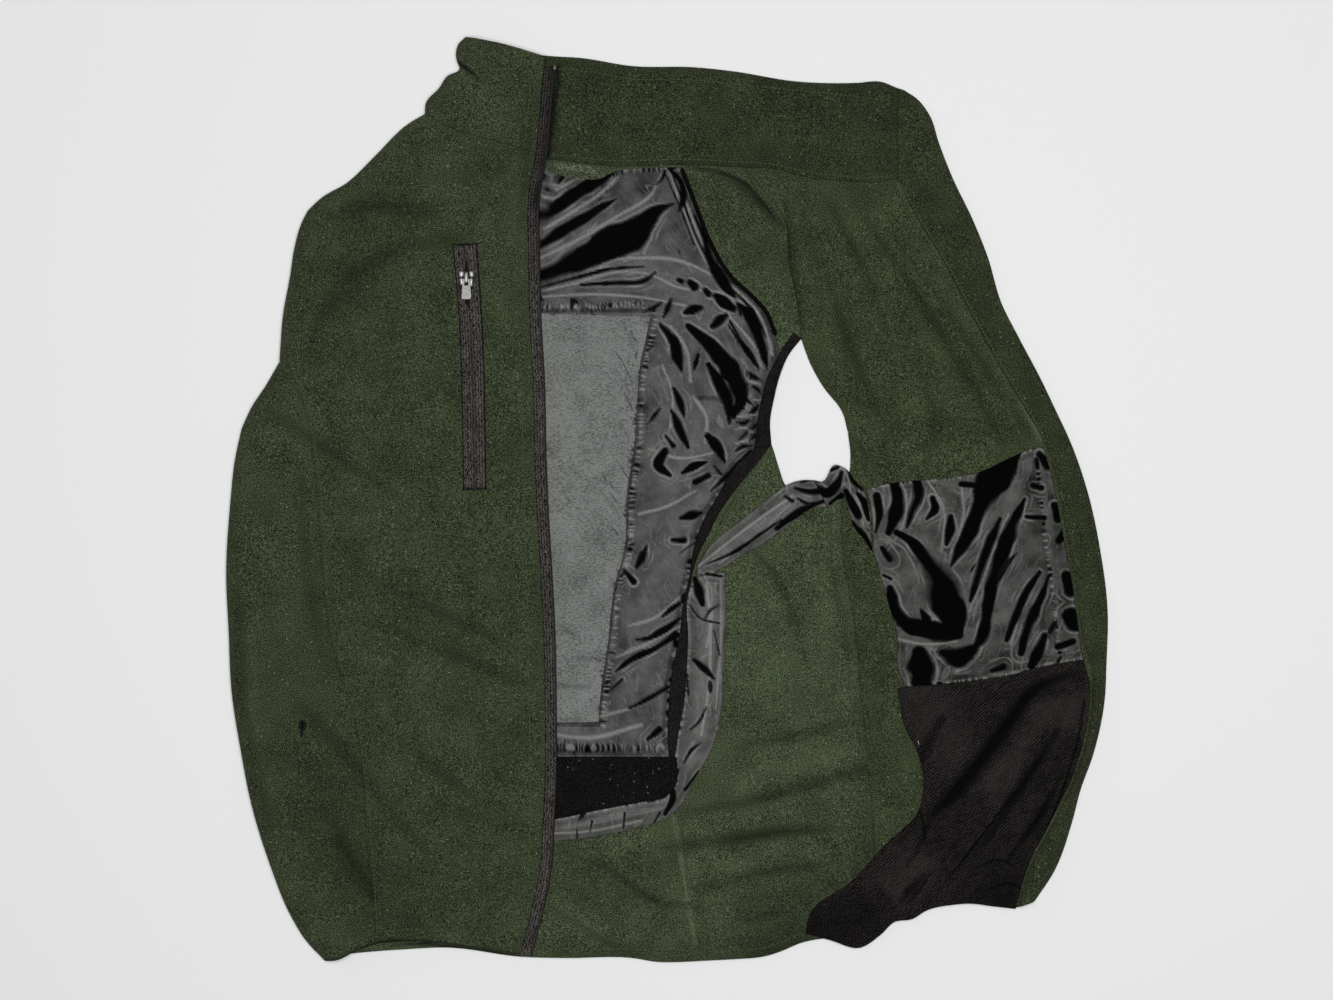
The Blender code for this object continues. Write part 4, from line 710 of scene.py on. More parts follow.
PATCH_CREASES = (creases((173, 16, 4, 177, 4, 5.5, 176, -8, 5.5, 170, -24, 2.5), (192, 15, 3.5,
    193, 4, 4, 188, -8, 3.2, 184, -20, 1.5), (204, 2, 2.6, 206, -5, 3, 199, -14, 1), (161, 4, 3,
    163, -10, 2.6, 160, -24, 1), (226, 13, 2.4, 240, 12, 2), (217.7, -12, 2, 217, -22, 4,
    214.6, -33, 1.5), (255.6, -13.7, 2, 248, -31, 3.6, 239, -57, 3.8, 233, -77, 1.6),
    (274.6, 1.5, 1.5, 264.5, -19, 5, 256, -43, 6, 249, -64, 5, 245.5, -87, 4.4, 240.5, -107, 4.6,
    236, -113, 3), (171, -67, 3, 174.7, -82, 5, 183.5, -95, 6, 197, -98, 7.5, 209, -101, 8,
    222, -104, 3), (195, -84, 1.5, 199, -91, 4), (165, -36, 2, 171, -45, 3),
    (166, -57, 1.5, 172, -60, 1.5), (193, -117, 6, 195, -128, 10, 194, -138, 8), (211, -116, 4,
    224, -120, 8, 235, -114, 5), (286, -55, 2, 274.6, -72, 3, 267, -90, 3.2, 260.7, -107, 1.8),
    (293, -58, 1.6, 286, -77, 3.2, 277, -97, 3.8, 272, -117, 2.6), (290, -104, 3, 285, -116, 4.6,
    280, -127, 3), (258, -128, 3, 249, -131, 1.6), (286, 36, 3, 293, 28, 4.6),
    (298, -4, 3, 301, -12, 5), (301, -30, 3, 306, -24, 4), (307, -58, 4, 311, -68, 6),
    (309, -88, 6, 315, -95, 6.5), (300, -112, 3, 312, -108, 3), (281, 12, 2, 288, 10, 2.6),
    (276, -12, 1.6, 290, -13, 2.2)) + creases((265, 35, 6, 262, 30, 9.5, 252, 21, 13, 246, 9, 10,
    241.7, -1, 7.4, 232.4, -24, 5.4, 224, -39, 3.8, 217.7, -50.4, 1), slope=0.16, lean=1.0,
    run_out=5.0) + creases((176, -24, 2.4, 188.6, -31.4, 4, 198.7, -45, 6.5, 208.8, -59, 11,
    214.4, -74, 13, 220, -90, 11, 224, -103, 4), slope=0.14, lean=-1.0, run_out=4.0) +
    creases((232, -85, 1, 238, -70, 1, 247, -46, 1, 259, -16, 1), (178, 14, 1, 184, -4, 1.2,
    178, -26, 1), (226, 14, 1.2, 228, -8, 1.4, 220, -40, 1.2), (262, -10, 1, 252, -36, 1),
    (200, 16, 1, 212, -4, 1.4, 211, -38, 1), (270, -88, 1, 264, -110, 1.2), (282, -60, 1,
    271, -80, 1.2, 262, -104, 1), (176, -106, 1.2, 196, -110, 1.4, 222, -108, 1.2),
    (204, -122, 1.2, 208, -132, 1.6, 206, -140, 1), (222, -132, 1.2, 232, -124, 1.4), slope=-0.25))
CHANNEL_CREASES = (creases((21, -60, 3, 24, -69, 4.4, 27, -79, 2.4), (30, -56, 1.4, 42, -58, 1.2),
    (20, -122, 2, 28, -129, 3.4, 36, -137, 1), (17, -80, 0.8, 25, -90, 1, 40, -94, 0.8),
    (15, -134, 1, 16, -149, 1.2), (13.6, -222, 1.5, 24, -208, 1), (-2, -241, 2, 4, -228, 3,
    2, -215, 1.5), (36, -100, 0.6, 40, -118, 1.0), (-34, -252, 0.8, -33, -240, 1.2),
    (-92, -262, 0.6, -90, -248, 0.8), (31, -48, 0.8, 50, -40, 1.6, 72, -25, 1.4, 88, -14, 0.8),
    (84, -21, 2, 97, -11, 3.4, 110, -4, 3, 120, 0, 2), (98, 10, 1.6, 110, 7, 3, 122, 8, 3),
    (64, -2, 0.8, 82, 8, 1.0), (90, 4, 1, 96, 0, 1.6), (76, 3, 0.8, 84, 9, 1.8, 90, 14, 1.0),
    (100, 2, 1, 108, -2, 1.8, 114, -1, 1.0), (102, 14, 0.8, 112, 17, 1.9, 120, 15, 1.2),
    (28, -92, 0.6, 33, -84, 1.4, 40, -80, 0.8), (17, -176, 0.8, 24, -170, 1.3, 30, -158, 0.7),
    (12, -202, 0.8, 20, -190, 1.5, 26, -186, 0.7), (-60, -256, 0.6, -58, -246, 1.1),
    (-12, -250, 0.7, -6, -240, 1.3), slope=0.3) + creases((24, -50, 1, 46, -32, 1, 70, -14, 1.1,
    96, 4, 1), (40, -48, 0.9, 62, -32, 1, 84, -16, 0.9), (30, -62, 1, 33, -100, 1.2,
    32, -140, 1.2, 26, -180, 1), (41, -60, 0.9, 41, -110, 1, 37, -160, 0.9), (-100, -256, 1,
    -60, -254, 1.2, -20, -246, 1), (20, -60, 1, 34, -84, 1.2, 30, -112, 1), slope=-0.15))
TWIST_CREASES = (creases((114, 10, 3, 122, 6, 4, 130, 12, 3.4, 134, 22, 2),
    (125, -2, 1.6, 134, 4, 2.6), (139, 24, 1.4, 144, 15, 2.8, 150, 9, 1.6), (137, 8, 2,
    142, -2, 3.2, 147, -12, 2.6), (142, -16, 1.6, 150, -26, 2.8, 157, -38, 2), (146, 6, 1.6,
    152, -2, 3, 155, -14, 2), (126, 24, 1.6, 131, 26, 1.4), slope=0.4) + creases((118, 14, 0.8,
    128, 8, 0.9, 137, 14, 0.8), (134, 26, 0.8, 140, 14, 0.9, 140, 0, 0.8), (147, 14, 0.8,
    148, 0, 0.9, 151, -20, 0.8), slope=-0.3))


# ------------------------------------------------------------------ heights of the layers
def floor_level(x: Array, y: Array) -> Array:
    """Underside of the pieces that lie on the surface."""
    return relief(FLOOR_FOLDS, x, y)


def inner_level(x: Array, y: Array) -> Array:
    """Underside of the pieces that lie on the fleece."""
    return floor_level(x, y) + FLEECE_WALL + LAY_GAP


def front_level(x: Array, y: Array) -> Array:
    """Underside of the closed right front and of the collar folded over it."""
    hem = nearest(run(HEM_FRONT_SIDE, HEM_FRONT_CENTRE), x, y)[0]
    corner = smooth((CORNER_START - x) / CORNER_RAMP)
    low = FRONT_HEM_HEIGHT + (FRONT_CORNER_HEIGHT - FRONT_HEM_HEIGHT) * corner
    height = low + (FRONT_HEIGHT - low) * smooth(hem / HEM_SLOPE) + relief(FRONT_FOLDS, x, y)
    fold = joined((COLLAR_FOLD, SHOULDER_FOLD, ARMHOLE_RIGHT, ARMHOLE_RIGHT_LOW, SIDE_FOLD))
    inwards = np.clip(nearest(fold, x, y)[0] / EDGE_ROUND, 0.0, 1.0)
    return height * np.sqrt(1.0 - (1.0 - inwards) ** 2)


# ------------------------------------------------------------------ finishes
def linear(colour: str) -> tuple[float, float, float, float]:
    """An sRGB hex colour as linear red, green, blue and alpha."""
    parts = [int(colour[k:k + 2], 16) / 255 for k in (1, 3, 5)]
    values = [c / 12.92 if c <= 0.04045 else ((c + 0.055) / 1.055) ** 2.4 for c in parts]
    return (*values, 1.0)


class Place(Enum):
    """Where a pattern lies: in the object's own space, or along the cloth's unrolled grid."""

    OBJECT = "Object"
    UNROLLED = "UV"


def feed(tree: bpy.types.NodeTree, node: bpy.types.Node, inputs: dict) -> None:
    """Fills a node's inputs.

    Args:
        tree: the material's nodes.
        node: the node whose inputs are filled.
        inputs: input name or number, to a value, a socket, or a node for its first output.
    """
    for key, value in inputs.items():
        if isinstance(value, bpy.types.Node):
            value = value.outputs[0]
        if isinstance(value, bpy.types.NodeSocket):
            tree.links.new(value, node.inputs[key])
        else:
            node.inputs[key].default_value = value


def put(tree: bpy.types.NodeTree, kind: str, inputs: dict | None = None,
        **settings: object) -> bpy.types.Node:
    """Adds a shader node with its settings and links.

    Args:
        tree: the material's nodes.
        kind: Blender's name for the node, without its first part.
        inputs: what its inputs get, as feed takes it.
        settings: the node's own properties.

    Returns:
        The node.
    """
    made = tree.nodes.new("ShaderNode" + kind)
    for key, value in settings.items():
        setattr(made, key, value)
    feed(tree, made, inputs or {})
    return made


def spot(add: Add, place: Place) -> bpy.types.NodeSocket:
    """The socket that a pattern reads its place from."""
    return add("TexCoord").outputs[place.value]


def stops(ramp: bpy.types.Node, first: Stop, last: Stop, *between: Stop) -> bpy.types.Node:
    """Gives a colour ramp its stops, each a place and a colour, and returns the ramp."""
    elements = ramp.color_ramp.elements
    for element, (place, colour) in zip(elements, (first, last)):
        element.position, element.color = place, linear(colour)
    for place, colour in between:
        elements.new(place).color = linear(colour)
    return ramp


def shaded(add: Add, colour: bpy.types.Node | bpy.types.NodeSocket, hollow: str,
           crest: str = "") -> bpy.types.NodeSocket:
    """Colour painted to hollow inside the folds and to crest on their crests: shade and highlight.

    Args:
        add: adds a node.
        colour: the cloth's own colour.
        hollow: painted shade colour, where the mesh's shade is 1.
        crest: painted highlight colour, where the shade is -1, if it changes there.

    Returns:
        The socket with the mixed colour.
    """
    shade = add("Attribute", attribute_name="shade").outputs["Fac"]
    if crest:
        raised = add("MapRange", {"Value": shade, "From Max": -1.0})
        colour = add("Mix", {0: raised, 6: colour, 7: linear(crest)}, data_type="RGBA").outputs[2]
    return add("Mix", {0: shade, 6: colour, 7: linear(hollow)}, data_type="RGBA").outputs[2]


@dataclass(frozen=True)
class Finish:
    """What all finishes share: a name, and a material that is made once."""

    name: str

    def material(self) -> bpy.types.Material:
        """The finish's material, made at the first call."""
        name = "look_" + self.name      # apart from the CAD model's own materials
        made = bpy.data.materials.get(name)
        if made is None:
            made = bpy.data.materials.new(name)
            made.use_nodes = True
            tree = made.node_tree
            feed(tree, tree.nodes["Principled BSDF"], self.dress(partial(put, tree)))
        return made

    def dress(self, add: Add) -> dict:
        """Adds the finish's patterns, and returns what the shader's inputs get."""
        raise NotImplementedError


@dataclass(frozen=True)
class BrushedFleece(Finish):
    """Knitted polyester with a brushed pile: a matt nap that mottles and collects lint."""

    base: str = "#343b29"
    light: str = "#4a533b"
    dark: str = "#1f2418"
    lint: str = "#b9bda9"
    nap: float = 0.0008       # spacing of the nap's tufts, drawn coarser than real to show, m
    mottles: float = 45.0     # soft mottles in a metre
    specks: float = 210.0     # places for a lint speck in a metre; under half of them have one
    sheen: float = 0.12
    gloss: float = 0.15

    def dress(self, add: Add) -> dict:
        """Noise at the tufts' spacing lightens and darkens the pile; sparse specks are lint."""
        where = spot(add, Place.OBJECT)
        nap = add("TexNoise", {"Vector": where, "Scale": 1 / self.nap, "Detail": 2.0,
                               "Roughness": 0.5})
        cloud = add("TexNoise", {"Vector": where, "Scale": self.mottles, "Detail": 2.0})
        mixed = add("Math", {0: cloud, 1: 0.14, 2: nap}, operation="MULTIPLY_ADD")
        pile = stops(add("ValToRGB", {"Fac": mixed}), (0.43, self.dark), (0.71, self.light),
                     (0.57, self.base))
        cell = add("TexVoronoi", {"Vector": where, "Scale": self.specks})
        speck = add("Math", {0: cell.outputs["Distance"], 1: 0.13}, operation="LESS_THAN")
        tint = add("SeparateColor", {"Color": cell.outputs["Color"]})
        rare = add("Math", {0: tint, 1: 0.55}, operation="GREATER_THAN")
        both = add("Math", {0: speck, 1: rare}, operation="MULTIPLY")
        faint = add("Math", {0: both, 1: 0.2}, operation="MULTIPLY")
        linty = add("Mix", {0: faint, 6: pile, 7: linear(self.lint)}, data_type="RGBA")
        bump = add("Bump", {"Height": nap, "Strength": 0.55, "Distance": 0.0009})
        # painted shade in folds (#0b0e08) and painted highlight on crests (#7c8a6a), by the shade
        # attribute
        return {"Base Color": shaded(add, linty.outputs[2], "#0b0e08", "#7c8a6a"),
                "Normal": bump, "Roughness": 0.95, "Specular IOR Level": self.gloss,
                "Sheen Weight": self.sheen, "Sheen Roughness": 0.45,
                "Sheen Tint": linear("#8b9478")}


@dataclass(frozen=True)
class GlossyWeave(Finish):
    """Filament polyester, calendered: grey folds with black painted shade and bright painted
    highlight rims.
    """

    base: str = "#0b0b0b"
    gloss: float = 0.5
    roughness: float = 0.2
    crest: str = "#4a4a48"    # painted highlight colour, on crests, rim lines and slub patches
    thread: float = 0.0009    # thread spacing, drawn coarser than the real 0.25 mm to show, m
    kinks: float = 0.013      # spacing of the small kinks between the folds, drawn only as painted shade and highlight, m
    lie: float = 1.9          # way the kinks run, radians from the x axis
    slubs: float = 70.0       # uneven patches of thread in a metre, drawn towards the painted highlight colour
    # levels of the kinks' noise at which a painted highlight line runs, and its brightness
    rims: tuple[tuple[float, float], ...] = ((0.34, 0.46), (0.43, 0.3), (0.62, 0.38))

    def dress(self, add: Add) -> dict:
        """Two crossed waves at the thread spacing raise the weave; noise dulls it in patches.

        Stretched noise makes the kinks: painted shade where it is lowest, with painted highlight
        lines at its levels.
        """
        where = spot(add, Place.OBJECT)
        warp, weft = (add("TexWave", {"Vector": where, "Scale": 0.16 / self.thread,
                                      "Distortion": 0.6, "Detail": 1.0}, bands_direction=way)
                      for way in "XY")
        cross = add("Math", {0: warp.outputs["Fac"], 1: weft.outputs["Fac"]}, operation="ADD")
        grain = add("TexNoise", {"Vector": where, "Scale": FUZZ, "Detail": 2.0})
        weave = add("Math", {0: grain, 1: 1.2, 2: cross}, operation="MULTIPLY_ADD")
        bump = add("Bump", {"Height": weave, "Strength": 0.12, "Distance": 0.0002})
        shade = add("Attribute", attribute_name="shade").outputs["Fac"]
        turned = add("Mapping", {"Vector": where, "Rotation": (0, 0, -self.lie)})
        drawn = add("Mapping", {"Vector": turned, "Scale": (0.38, 1, 1)})
        kink = add("TexNoise", {"Vector": drawn, "Scale": 1 / self.kinks, "Detail": 1.0,
                                "Distortion": 0.6})
        # painted shade: dark blots where the kinks' noise is lowest
        kink_shade = add("MapRange", {"Value": kink, "From Min": 0.24, "From Max": 0.22,
                                "To Max": 0.92})
        hollow = add("Math", {0: kink_shade, 1: shade}, operation="MAXIMUM")
        dull = add("MapRange", {"Value": hollow, "To Min": self.roughness, "To Max": 1.0})
        crest = add("MapRange", {"Value": shade, "From Max": -1.0, "To Max": 0.8})
        slub = add("TexNoise", {"Vector": where, "Scale": self.slubs, "Detail": 3.0})
        tone = add("MapRange", {"Value": slub, "From Min": 0.3, "From Max": 0.75,
                                "To Max": 0.35})
        share = add("Math", {0: crest, 1: tone}, operation="MAXIMUM")
        for level, bright in self.rims:
            off = add("Math", {0: kink, 1: level}, operation="SUBTRACT")
            off = add("Math", {0: off}, operation="ABSOLUTE")
            rim = add("MapRange", {"Value": off, "From Max": 0.022, "To Min": bright,
                                   "To Max": 0.0})
            share = add("Math", {0: share, 1: rim}, operation="MAXIMUM")
        speck = add("MapRange", {"Value": grain, "From Min": 0.3, "From Max": 0.7,
                                 "To Min": 0.62, "To Max": 1.34})
        share = add("Math", {0: share, 1: speck}, operation="MULTIPLY", use_clamp=True)
        # painted highlight: share of the highlight colour from crests, slub patches and the kinks'
        # rim lines
        lit = add("Mix", {0: share, 6: linear(self.base), 7: linear(self.crest)},
                  data_type="RGBA")
        # painted shade: near black in the folds and where the kinks' noise is lowest
        inside = add("Mix", {0: hollow, 6: lit.outputs[2], 7: linear("#020202")},
                     data_type="RGBA")
        return {"Base Color": inside.outputs[2], "Roughness": dull, "Normal": bump,
                "Specular IOR Level": self.gloss}


@dataclass(frozen=True)
class PlainWeave(Finish):
    """Matt woven cover cloth: fine threads across, a little uneven in tone."""

    light: str = "#787b78"
    dark: str = "#484a48"
    slubs: float = 420.0      # slubs in a metre along the weft

    def dress(self, add: Add) -> dict:
        """Long noise across makes slubs in the weft; short noise makes the thread's grain."""
        where = spot(add, Place.OBJECT)
        stretch = add("Mapping", {"Vector": where, "Scale": (self.slubs, FUZZ, FUZZ)})
        weft = add("TexNoise", {"Vector": stretch, "Scale": 1.0, "Detail": 3.0})
        grain = add("TexNoise", {"Vector": where, "Scale": FUZZ, "Detail": 1.0})
        weave = add("Math", {0: grain, 1: 0.7, 2: weft}, operation="MULTIPLY_ADD")
        worn = add("TexNoise", {"Vector": where, "Scale": 55.0, "Detail": 2.0})
        patchy = add("Math", {0: worn, 1: 0.5, 2: -0.25}, operation="MULTIPLY_ADD")
        toned = add("Math", {0: weave, 1: patchy}, operation="ADD")
        cloth = stops(add("ValToRGB", {"Fac": toned}), (0.6, self.dark), (1.0, self.light))
        bump = add("Bump", {"Height": weave, "Strength": 0.35, "Distance": 0.0003})
        # painted shade of the pad's puckers and wrinkles (#2a2b2a), by the shade attribute
        return {"Base Color": shaded(add, cloth, "#2a2b2a"), "Normal": bump,
                "Roughness": 0.75, "Specular IOR Level": 0.3}


@dataclass(frozen=True)
class RibbedKnit(Finish):
    """Warp-knitted tape or tricot: fine wales that catch a dull light."""

    base: str = "#1a1818"
    light: str = "#393636"
    wale: float = 0.0016      # spacing of the wales, m
    place: Place = Place.UNROLLED
    turn: float = 0.0         # angle of the wales, radians
    gloss: float = 0.15
    unrest: float = 1.2       # how far the wales wander, in waves

    def dress(self, add: Add) -> dict:
        """A wave at the wale spacing, broken by noise, lightens and raises the wales."""
        turned = add("Mapping", {"Vector": spot(add, self.place),
                                 "Rotation": (0.0, 0.0, self.turn)})
        wale = add("TexWave", {"Vector": turned, "Scale": 0.159 / self.wale,
                               "Distortion": self.unrest, "Detail": 2.0, "Detail Scale": 3.0})
        where = spot(add, Place.OBJECT)
        grain = add("TexNoise", {"Vector": where, "Scale": 850.0, "Detail": 2.0})
        ribs = add("Math", {0: grain, 1: wale.outputs["Fac"]}, operation="MULTIPLY")
        rub = add("TexNoise", {"Vector": where, "Scale": 110.0, "Detail": 2.0})
        worn = add("MapRange", {"Value": rub, "From Min": 0.35, "From Max": 0.65,
                                "To Min": 0.76, "To Max": 1.24})
        both = add("Math", {0: ribs, 1: worn}, operation="MULTIPLY")
        knit = stops(add("ValToRGB", {"Fac": both}), (0.08, self.base), (0.5, self.light))
        bump = add("Bump", {"Height": both, "Strength": 0.5, "Distance": 0.0004})
        # painted shade in folds (#030303) and painted highlight on crests (#4a4644), by the shade
        # attribute
        return {"Base Color": shaded(add, knit, "#030303", "#4a4644"), "Normal": bump,
                "Roughness": 0.8, "Specular IOR Level": self.gloss}


@dataclass(frozen=True)
class CastZinc(Finish):
    """Die-cast zinc, plated or painted: smooth, with the faint unevenness of handling."""

    base: str = "#565654"
    metallic: float = 1.0
    roughness: float = 0.42
    gloss: float = 0.5

    def dress(self, add: Add) -> dict:
        """Noise varies the roughness as handling does; a slight bump softens reflections."""
        wear = add("TexNoise", {"Vector": spot(add, Place.OBJECT), "Scale": 700.0,
                                "Detail": 3.0})
        rough = add("MapRange", {"Value": wear, "To Min": self.roughness * 0.7,
                                 "To Max": self.roughness * 1.5})
        bump = add("Bump", {"Height": wear, "Strength": 0.1, "Distance": 0.0001})
        return {"Base Color": linear(self.base), "Metallic": self.metallic,
                "Roughness": rough, "Normal": bump, "Specular IOR Level": self.gloss}


@dataclass(frozen=True)
class SpunThread(Finish):
    """Spun polyester sewing thread: matt, slightly uneven."""

    base: str = "#5c6449"

    def dress(self, add: Add) -> dict:
        """Fine noise varies the tone from stitch to stitch."""
        noise = add("TexNoise", {"Vector": spot(add, Place.OBJECT), "Scale": 300.0,
                                 "Detail": 1.0})
        tone = add("Mix", {0: noise, 6: linear(self.base), 7: linear("#000000")},
                   data_type="RGBA")
        weaker = add("Mix", {0: 0.45, 6: linear(self.base), 7: tone.outputs[2]},
                     data_type="RGBA")
        return {"Base Color": weaker.outputs[2], "Roughness": 0.8, "Specular IOR Level": 0.2}


OUTER_FLEECE = BrushedFleece("fleece_outer_green", "#2e3623", "#535d42", "#12160d")
INNER_FLEECE = BrushedFleece("fleece_inner_green", "#363f2b", "#5e694c", "#171c11")
LEFT_FLEECE = BrushedFleece("fleece_left_green", "#2e3521", "#525c40", "#12160c")
COLLAR_FLEECE = BrushedFleece("fleece_collar_green", "#272e1d", "#485137", "#0f130b")
TAB_FLEECE = BrushedFleece("fleece_tab_green", "#434d3a", "#727c66", "#222a1e")
BLACK_FLEECE = BrushedFleece("fleece_black", "#111010", "#201f20", "#060606", sheen=0.02,
    gloss=0.03)
# the last colour of each glossy weave is its painted highlight colour
TAFFETA = GlossyWeave("taffeta_dark_grey", "#202020", 0.078, 0.24, "#828280")
CHANNEL_TAFFETA = GlossyWeave("taffeta_channel_grey", "#373736", 0.1, 0.24, "#838381", lie=1.5)
SATIN = GlossyWeave("satin_black", "#191918", 0.064, 0.22, "#7a7a77", lie=1.1)
PAD_CLOTH = PlainWeave("pad_cover_grey")
TRICOT = RibbedKnit("tricot_black", "#050404", "#2d2928", 0.001, Place.OBJECT, 0.85, 0.05, 5.0)
BINDING = RibbedKnit("binding_knit_black", "#060505", "#262322", 0.0009, gloss=0.06, unrest=9.0)
ZIP_TAPE = RibbedKnit("zip_tape_brown_black", "#070606", "#56524f", 0.0011, unrest=8.0)
NICKEL = CastZinc("zinc_nickel_plated", "#6c6c6a")
# nickel, pale and partly matt so that each lobe shows bright all over: partly painted highlight
NICKEL_AND_HIGHLIGHT = CastZinc("zinc_nickel_and_painted_highlight", "#c2c3bf", 0.55, 0.45)
# black paint on the hand pocket's slider and pull and on the front slider; on the chest slider's
# body it is painted shade between the bright lobes
BLACK_PAINT_AND_SHADE = CastZinc("zinc_black_paint_and_shade", "#080808", 0.0, 0.6, 0.2)
TOOTH = SpunThread("zip_teeth_dark", "#3a3533")
TAPE_THREAD = SpunThread("zip_tape_thread", "#5b524f")
KNIT_THREAD = SpunThread("knit_thread_dark", "#3c3735")
GREEN_THREAD = SpunThread("thread_green", "#525b3e")
LOOSE_THREAD = SpunThread("thread_pale", "#8f908a")
# the hand pocket's slit, drawn as black bars: painted shade in its opening
SLIT_SHADE_BLACK = SpunThread("slit_painted_shade_black", "#1c1b1c")


# ------------------------------------------------------------------ making pieces
def own(name: str, mesh: bpy.types.Mesh, finish: Finish, body: str,
        replaced: Sequence[str] = ()) -> bpy.types.Object:
    """An object of the vest that rides a body, with its finish and what it stands for."""
    thing = bpy.data.objects.new(name, mesh)
    mesh.materials.append(finish.material())
    bpy.context.scene.collection.objects.link(thing)
    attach(thing, body)
    if replaced:
        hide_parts(*replaced)
    LOG.info("%s: %d faces", name, len(mesh.polygons))
    return thing


def solid(name: str, points: Array, faces: Sequence[Sequence[int]]) -> bpy.types.Mesh:
    """A smooth mesh from points in mm and its faces."""
    mesh = bpy.data.meshes.new(name)
    mesh.from_pydata((points * MM).tolist(), [], faces)
    mesh.polygons.foreach_set("use_smooth", np.ones(len(mesh.polygons), bool))
    mesh.update()
    return mesh


def border(grid: Array) -> Array:
    """A grid's outermost entries, in order round it."""
    return np.concatenate([grid[0], grid[1:, -1], grid[-1, -2::-1], grid[-2:0:-1, 0]])


def wall_mesh(name: str, grid: Array, top: Array, bottom: Array, shade: Array) -> bpy.types.Mesh:
    """Closed wall between two height tables over one grid.

    Formula: every grid cell is a face of the top and, turned over, of the bottom; a band of
    faces round the edge joins them.

    Args:
        name: the mesh's name.
        grid: rows, columns and (x, y), mm.
        top: heights of the upper face, mm.
        bottom: heights of the lower face, mm.
        shade: painted shade, 1 inside a fold, down to -1 for painted highlight on its crest.

    Returns:
        The mesh, with a UV map of the unrolled lengths in metres.
    """
    rim = border(grid)
    area = np.sum(rim[:, 0] * np.roll(rim[:, 1], -1) - rim[:, 1] * np.roll(rim[:, 0], -1))
    if area > 0:      # rows run down and columns to the right, so the rim runs clockwise
        grid, top, bottom, shade = (part[:, ::-1] for part in (grid, top, bottom, shade))
    rows, columns = grid.shape[:2]
    count = rows * columns
    number = np.arange(count).reshape(rows, columns)
    a, b = number[:-1, :-1], number[1:, :-1]
    c, d = number[1:, 1:], number[:-1, 1:]
    upper = np.stack([a, b, c, d], axis=-1).reshape(-1, 4)
    lower = upper[:, ::-1] + count
    loop = border(number)[::-1]
    after = np.roll(loop, -1)
    band = np.stack([loop, loop + count, after + count, after], axis=1)
    points = np.concatenate([np.concatenate([grid, z[..., None]], axis=2).reshape(-1, 3)
                             for z in (top, bottom)]) * MM
    faces = np.concatenate([upper, lower, band])
    mesh = bpy.data.meshes.new(name)
    mesh.vertices.add(len(points))
    mesh.vertices.foreach_set("co", points.ravel())
    mesh.loops.add(faces.size)
    mesh.loops.foreach_set("vertex_index", faces.ravel())
    mesh.polygons.add(len(faces))
    mesh.polygons.foreach_set("loop_start", np.arange(len(faces)) * 4)
    mesh.polygons.foreach_set("use_smooth", np.ones(len(faces), bool))
    mesh.update(calc_edges=True)
    mesh.validate()
    across = np.linalg.norm(np.diff(grid, axis=1), axis=2)
    down = np.linalg.norm(np.diff(grid, axis=0), axis=2)
    u = np.concatenate([np.zeros((rows, 1)), np.cumsum(across, axis=1)], axis=1)
    v = np.concatenate([np.zeros((1, columns)), np.cumsum(down, axis=0)], axis=0)
    flat = np.tile(np.stack([u, v], axis=-1).reshape(-1, 2), (2, 1)) * MM
    layer = mesh.uv_layers.new(name="unrolled")
    layer.data.foreach_set("uv", flat[faces.ravel()].ravel())
    layer = mesh.attributes.new("shade", "FLOAT", "POINT")
    layer.data.foreach_set("value", np.concatenate([shade.ravel(), np.zeros(count)]))
    return mesh


def tubes(name: str, parts: Sequence[tuple[Array, Array]]) -> bpy.types.Mesh:
    """One mesh of round bars.

    Formula: a ring of points round each point of a path, square to its way there; the first
    and last ring are closed.

    Args:
        name: the mesh's name.
        parts: path's x, y, z and its radii, mm.

    Returns:
        The mesh.
    """
    points, faces = [], []
    angle = np.arange(TUBE_SIDES) / TUBE_SIDES * 2 * math.pi
    cos, sin = np.cos(angle)[None, :, None], np.sin(angle)[None, :, None]
    for path, radius in parts:
        way = np.gradient(path, axis=0)
        way /= np.linalg.norm(way, axis=1, keepdims=True)
        side = np.stack([-way[:, 1], way[:, 0], np.zeros(len(way))], axis=1)
        side /= np.linalg.norm(side, axis=1, keepdims=True)
        up = np.cross(way, side)
        ring = path[:, None] + radius[:, None, None] * (cos * side[:, None] + sin * up[:, None])
        first = sum(len(part) for part in points)
        here = first + np.arange(len(path) - 1)[:, None] * TUBE_SIDES
        there = here + TUBE_SIDES
        j = np.arange(TUBE_SIDES)[None]
        j2 = (j + 1) % TUBE_SIDES
        band = np.stack([here + j, here + j2, there + j2, there + j], axis=-1)
        last = first + (len(path) - 1) * TUBE_SIDES
        faces += band.reshape(-1, 4).tolist()
        start, end = (list(range(k, k + TUBE_SIDES)) for k in (first, last))
        faces += [start[::-1], end]
        points.append(ring.reshape(-1, 3))
    return solid(name, np.concatenate(points), faces)


def bars(shapes: Sequence[tuple[Table, float]], power: int,
         least: float) -> list[tuple[Array, Array]]:
    """Bent bars that round off to both ends.

    Formula: the radius times the square root of one less the power of the distance from the
    bar's middle, in half lengths, and never less than least under the root.

    Args:
        shapes: each bar's path and radius, mm.
        power: higher keeps the radius nearer to the ends.
        least: what is left at the very end.

    Returns:
        Paths and their radii, as tubes takes them.
    """
    made = []
    for path, radius in shapes:
        line = bend(path)
        away = np.abs(2.0 * along(line)[0] - 1.0)
        made.append((line, radius * np.sqrt(np.clip(1.0 - away ** power, least, 1.0))))
    return made


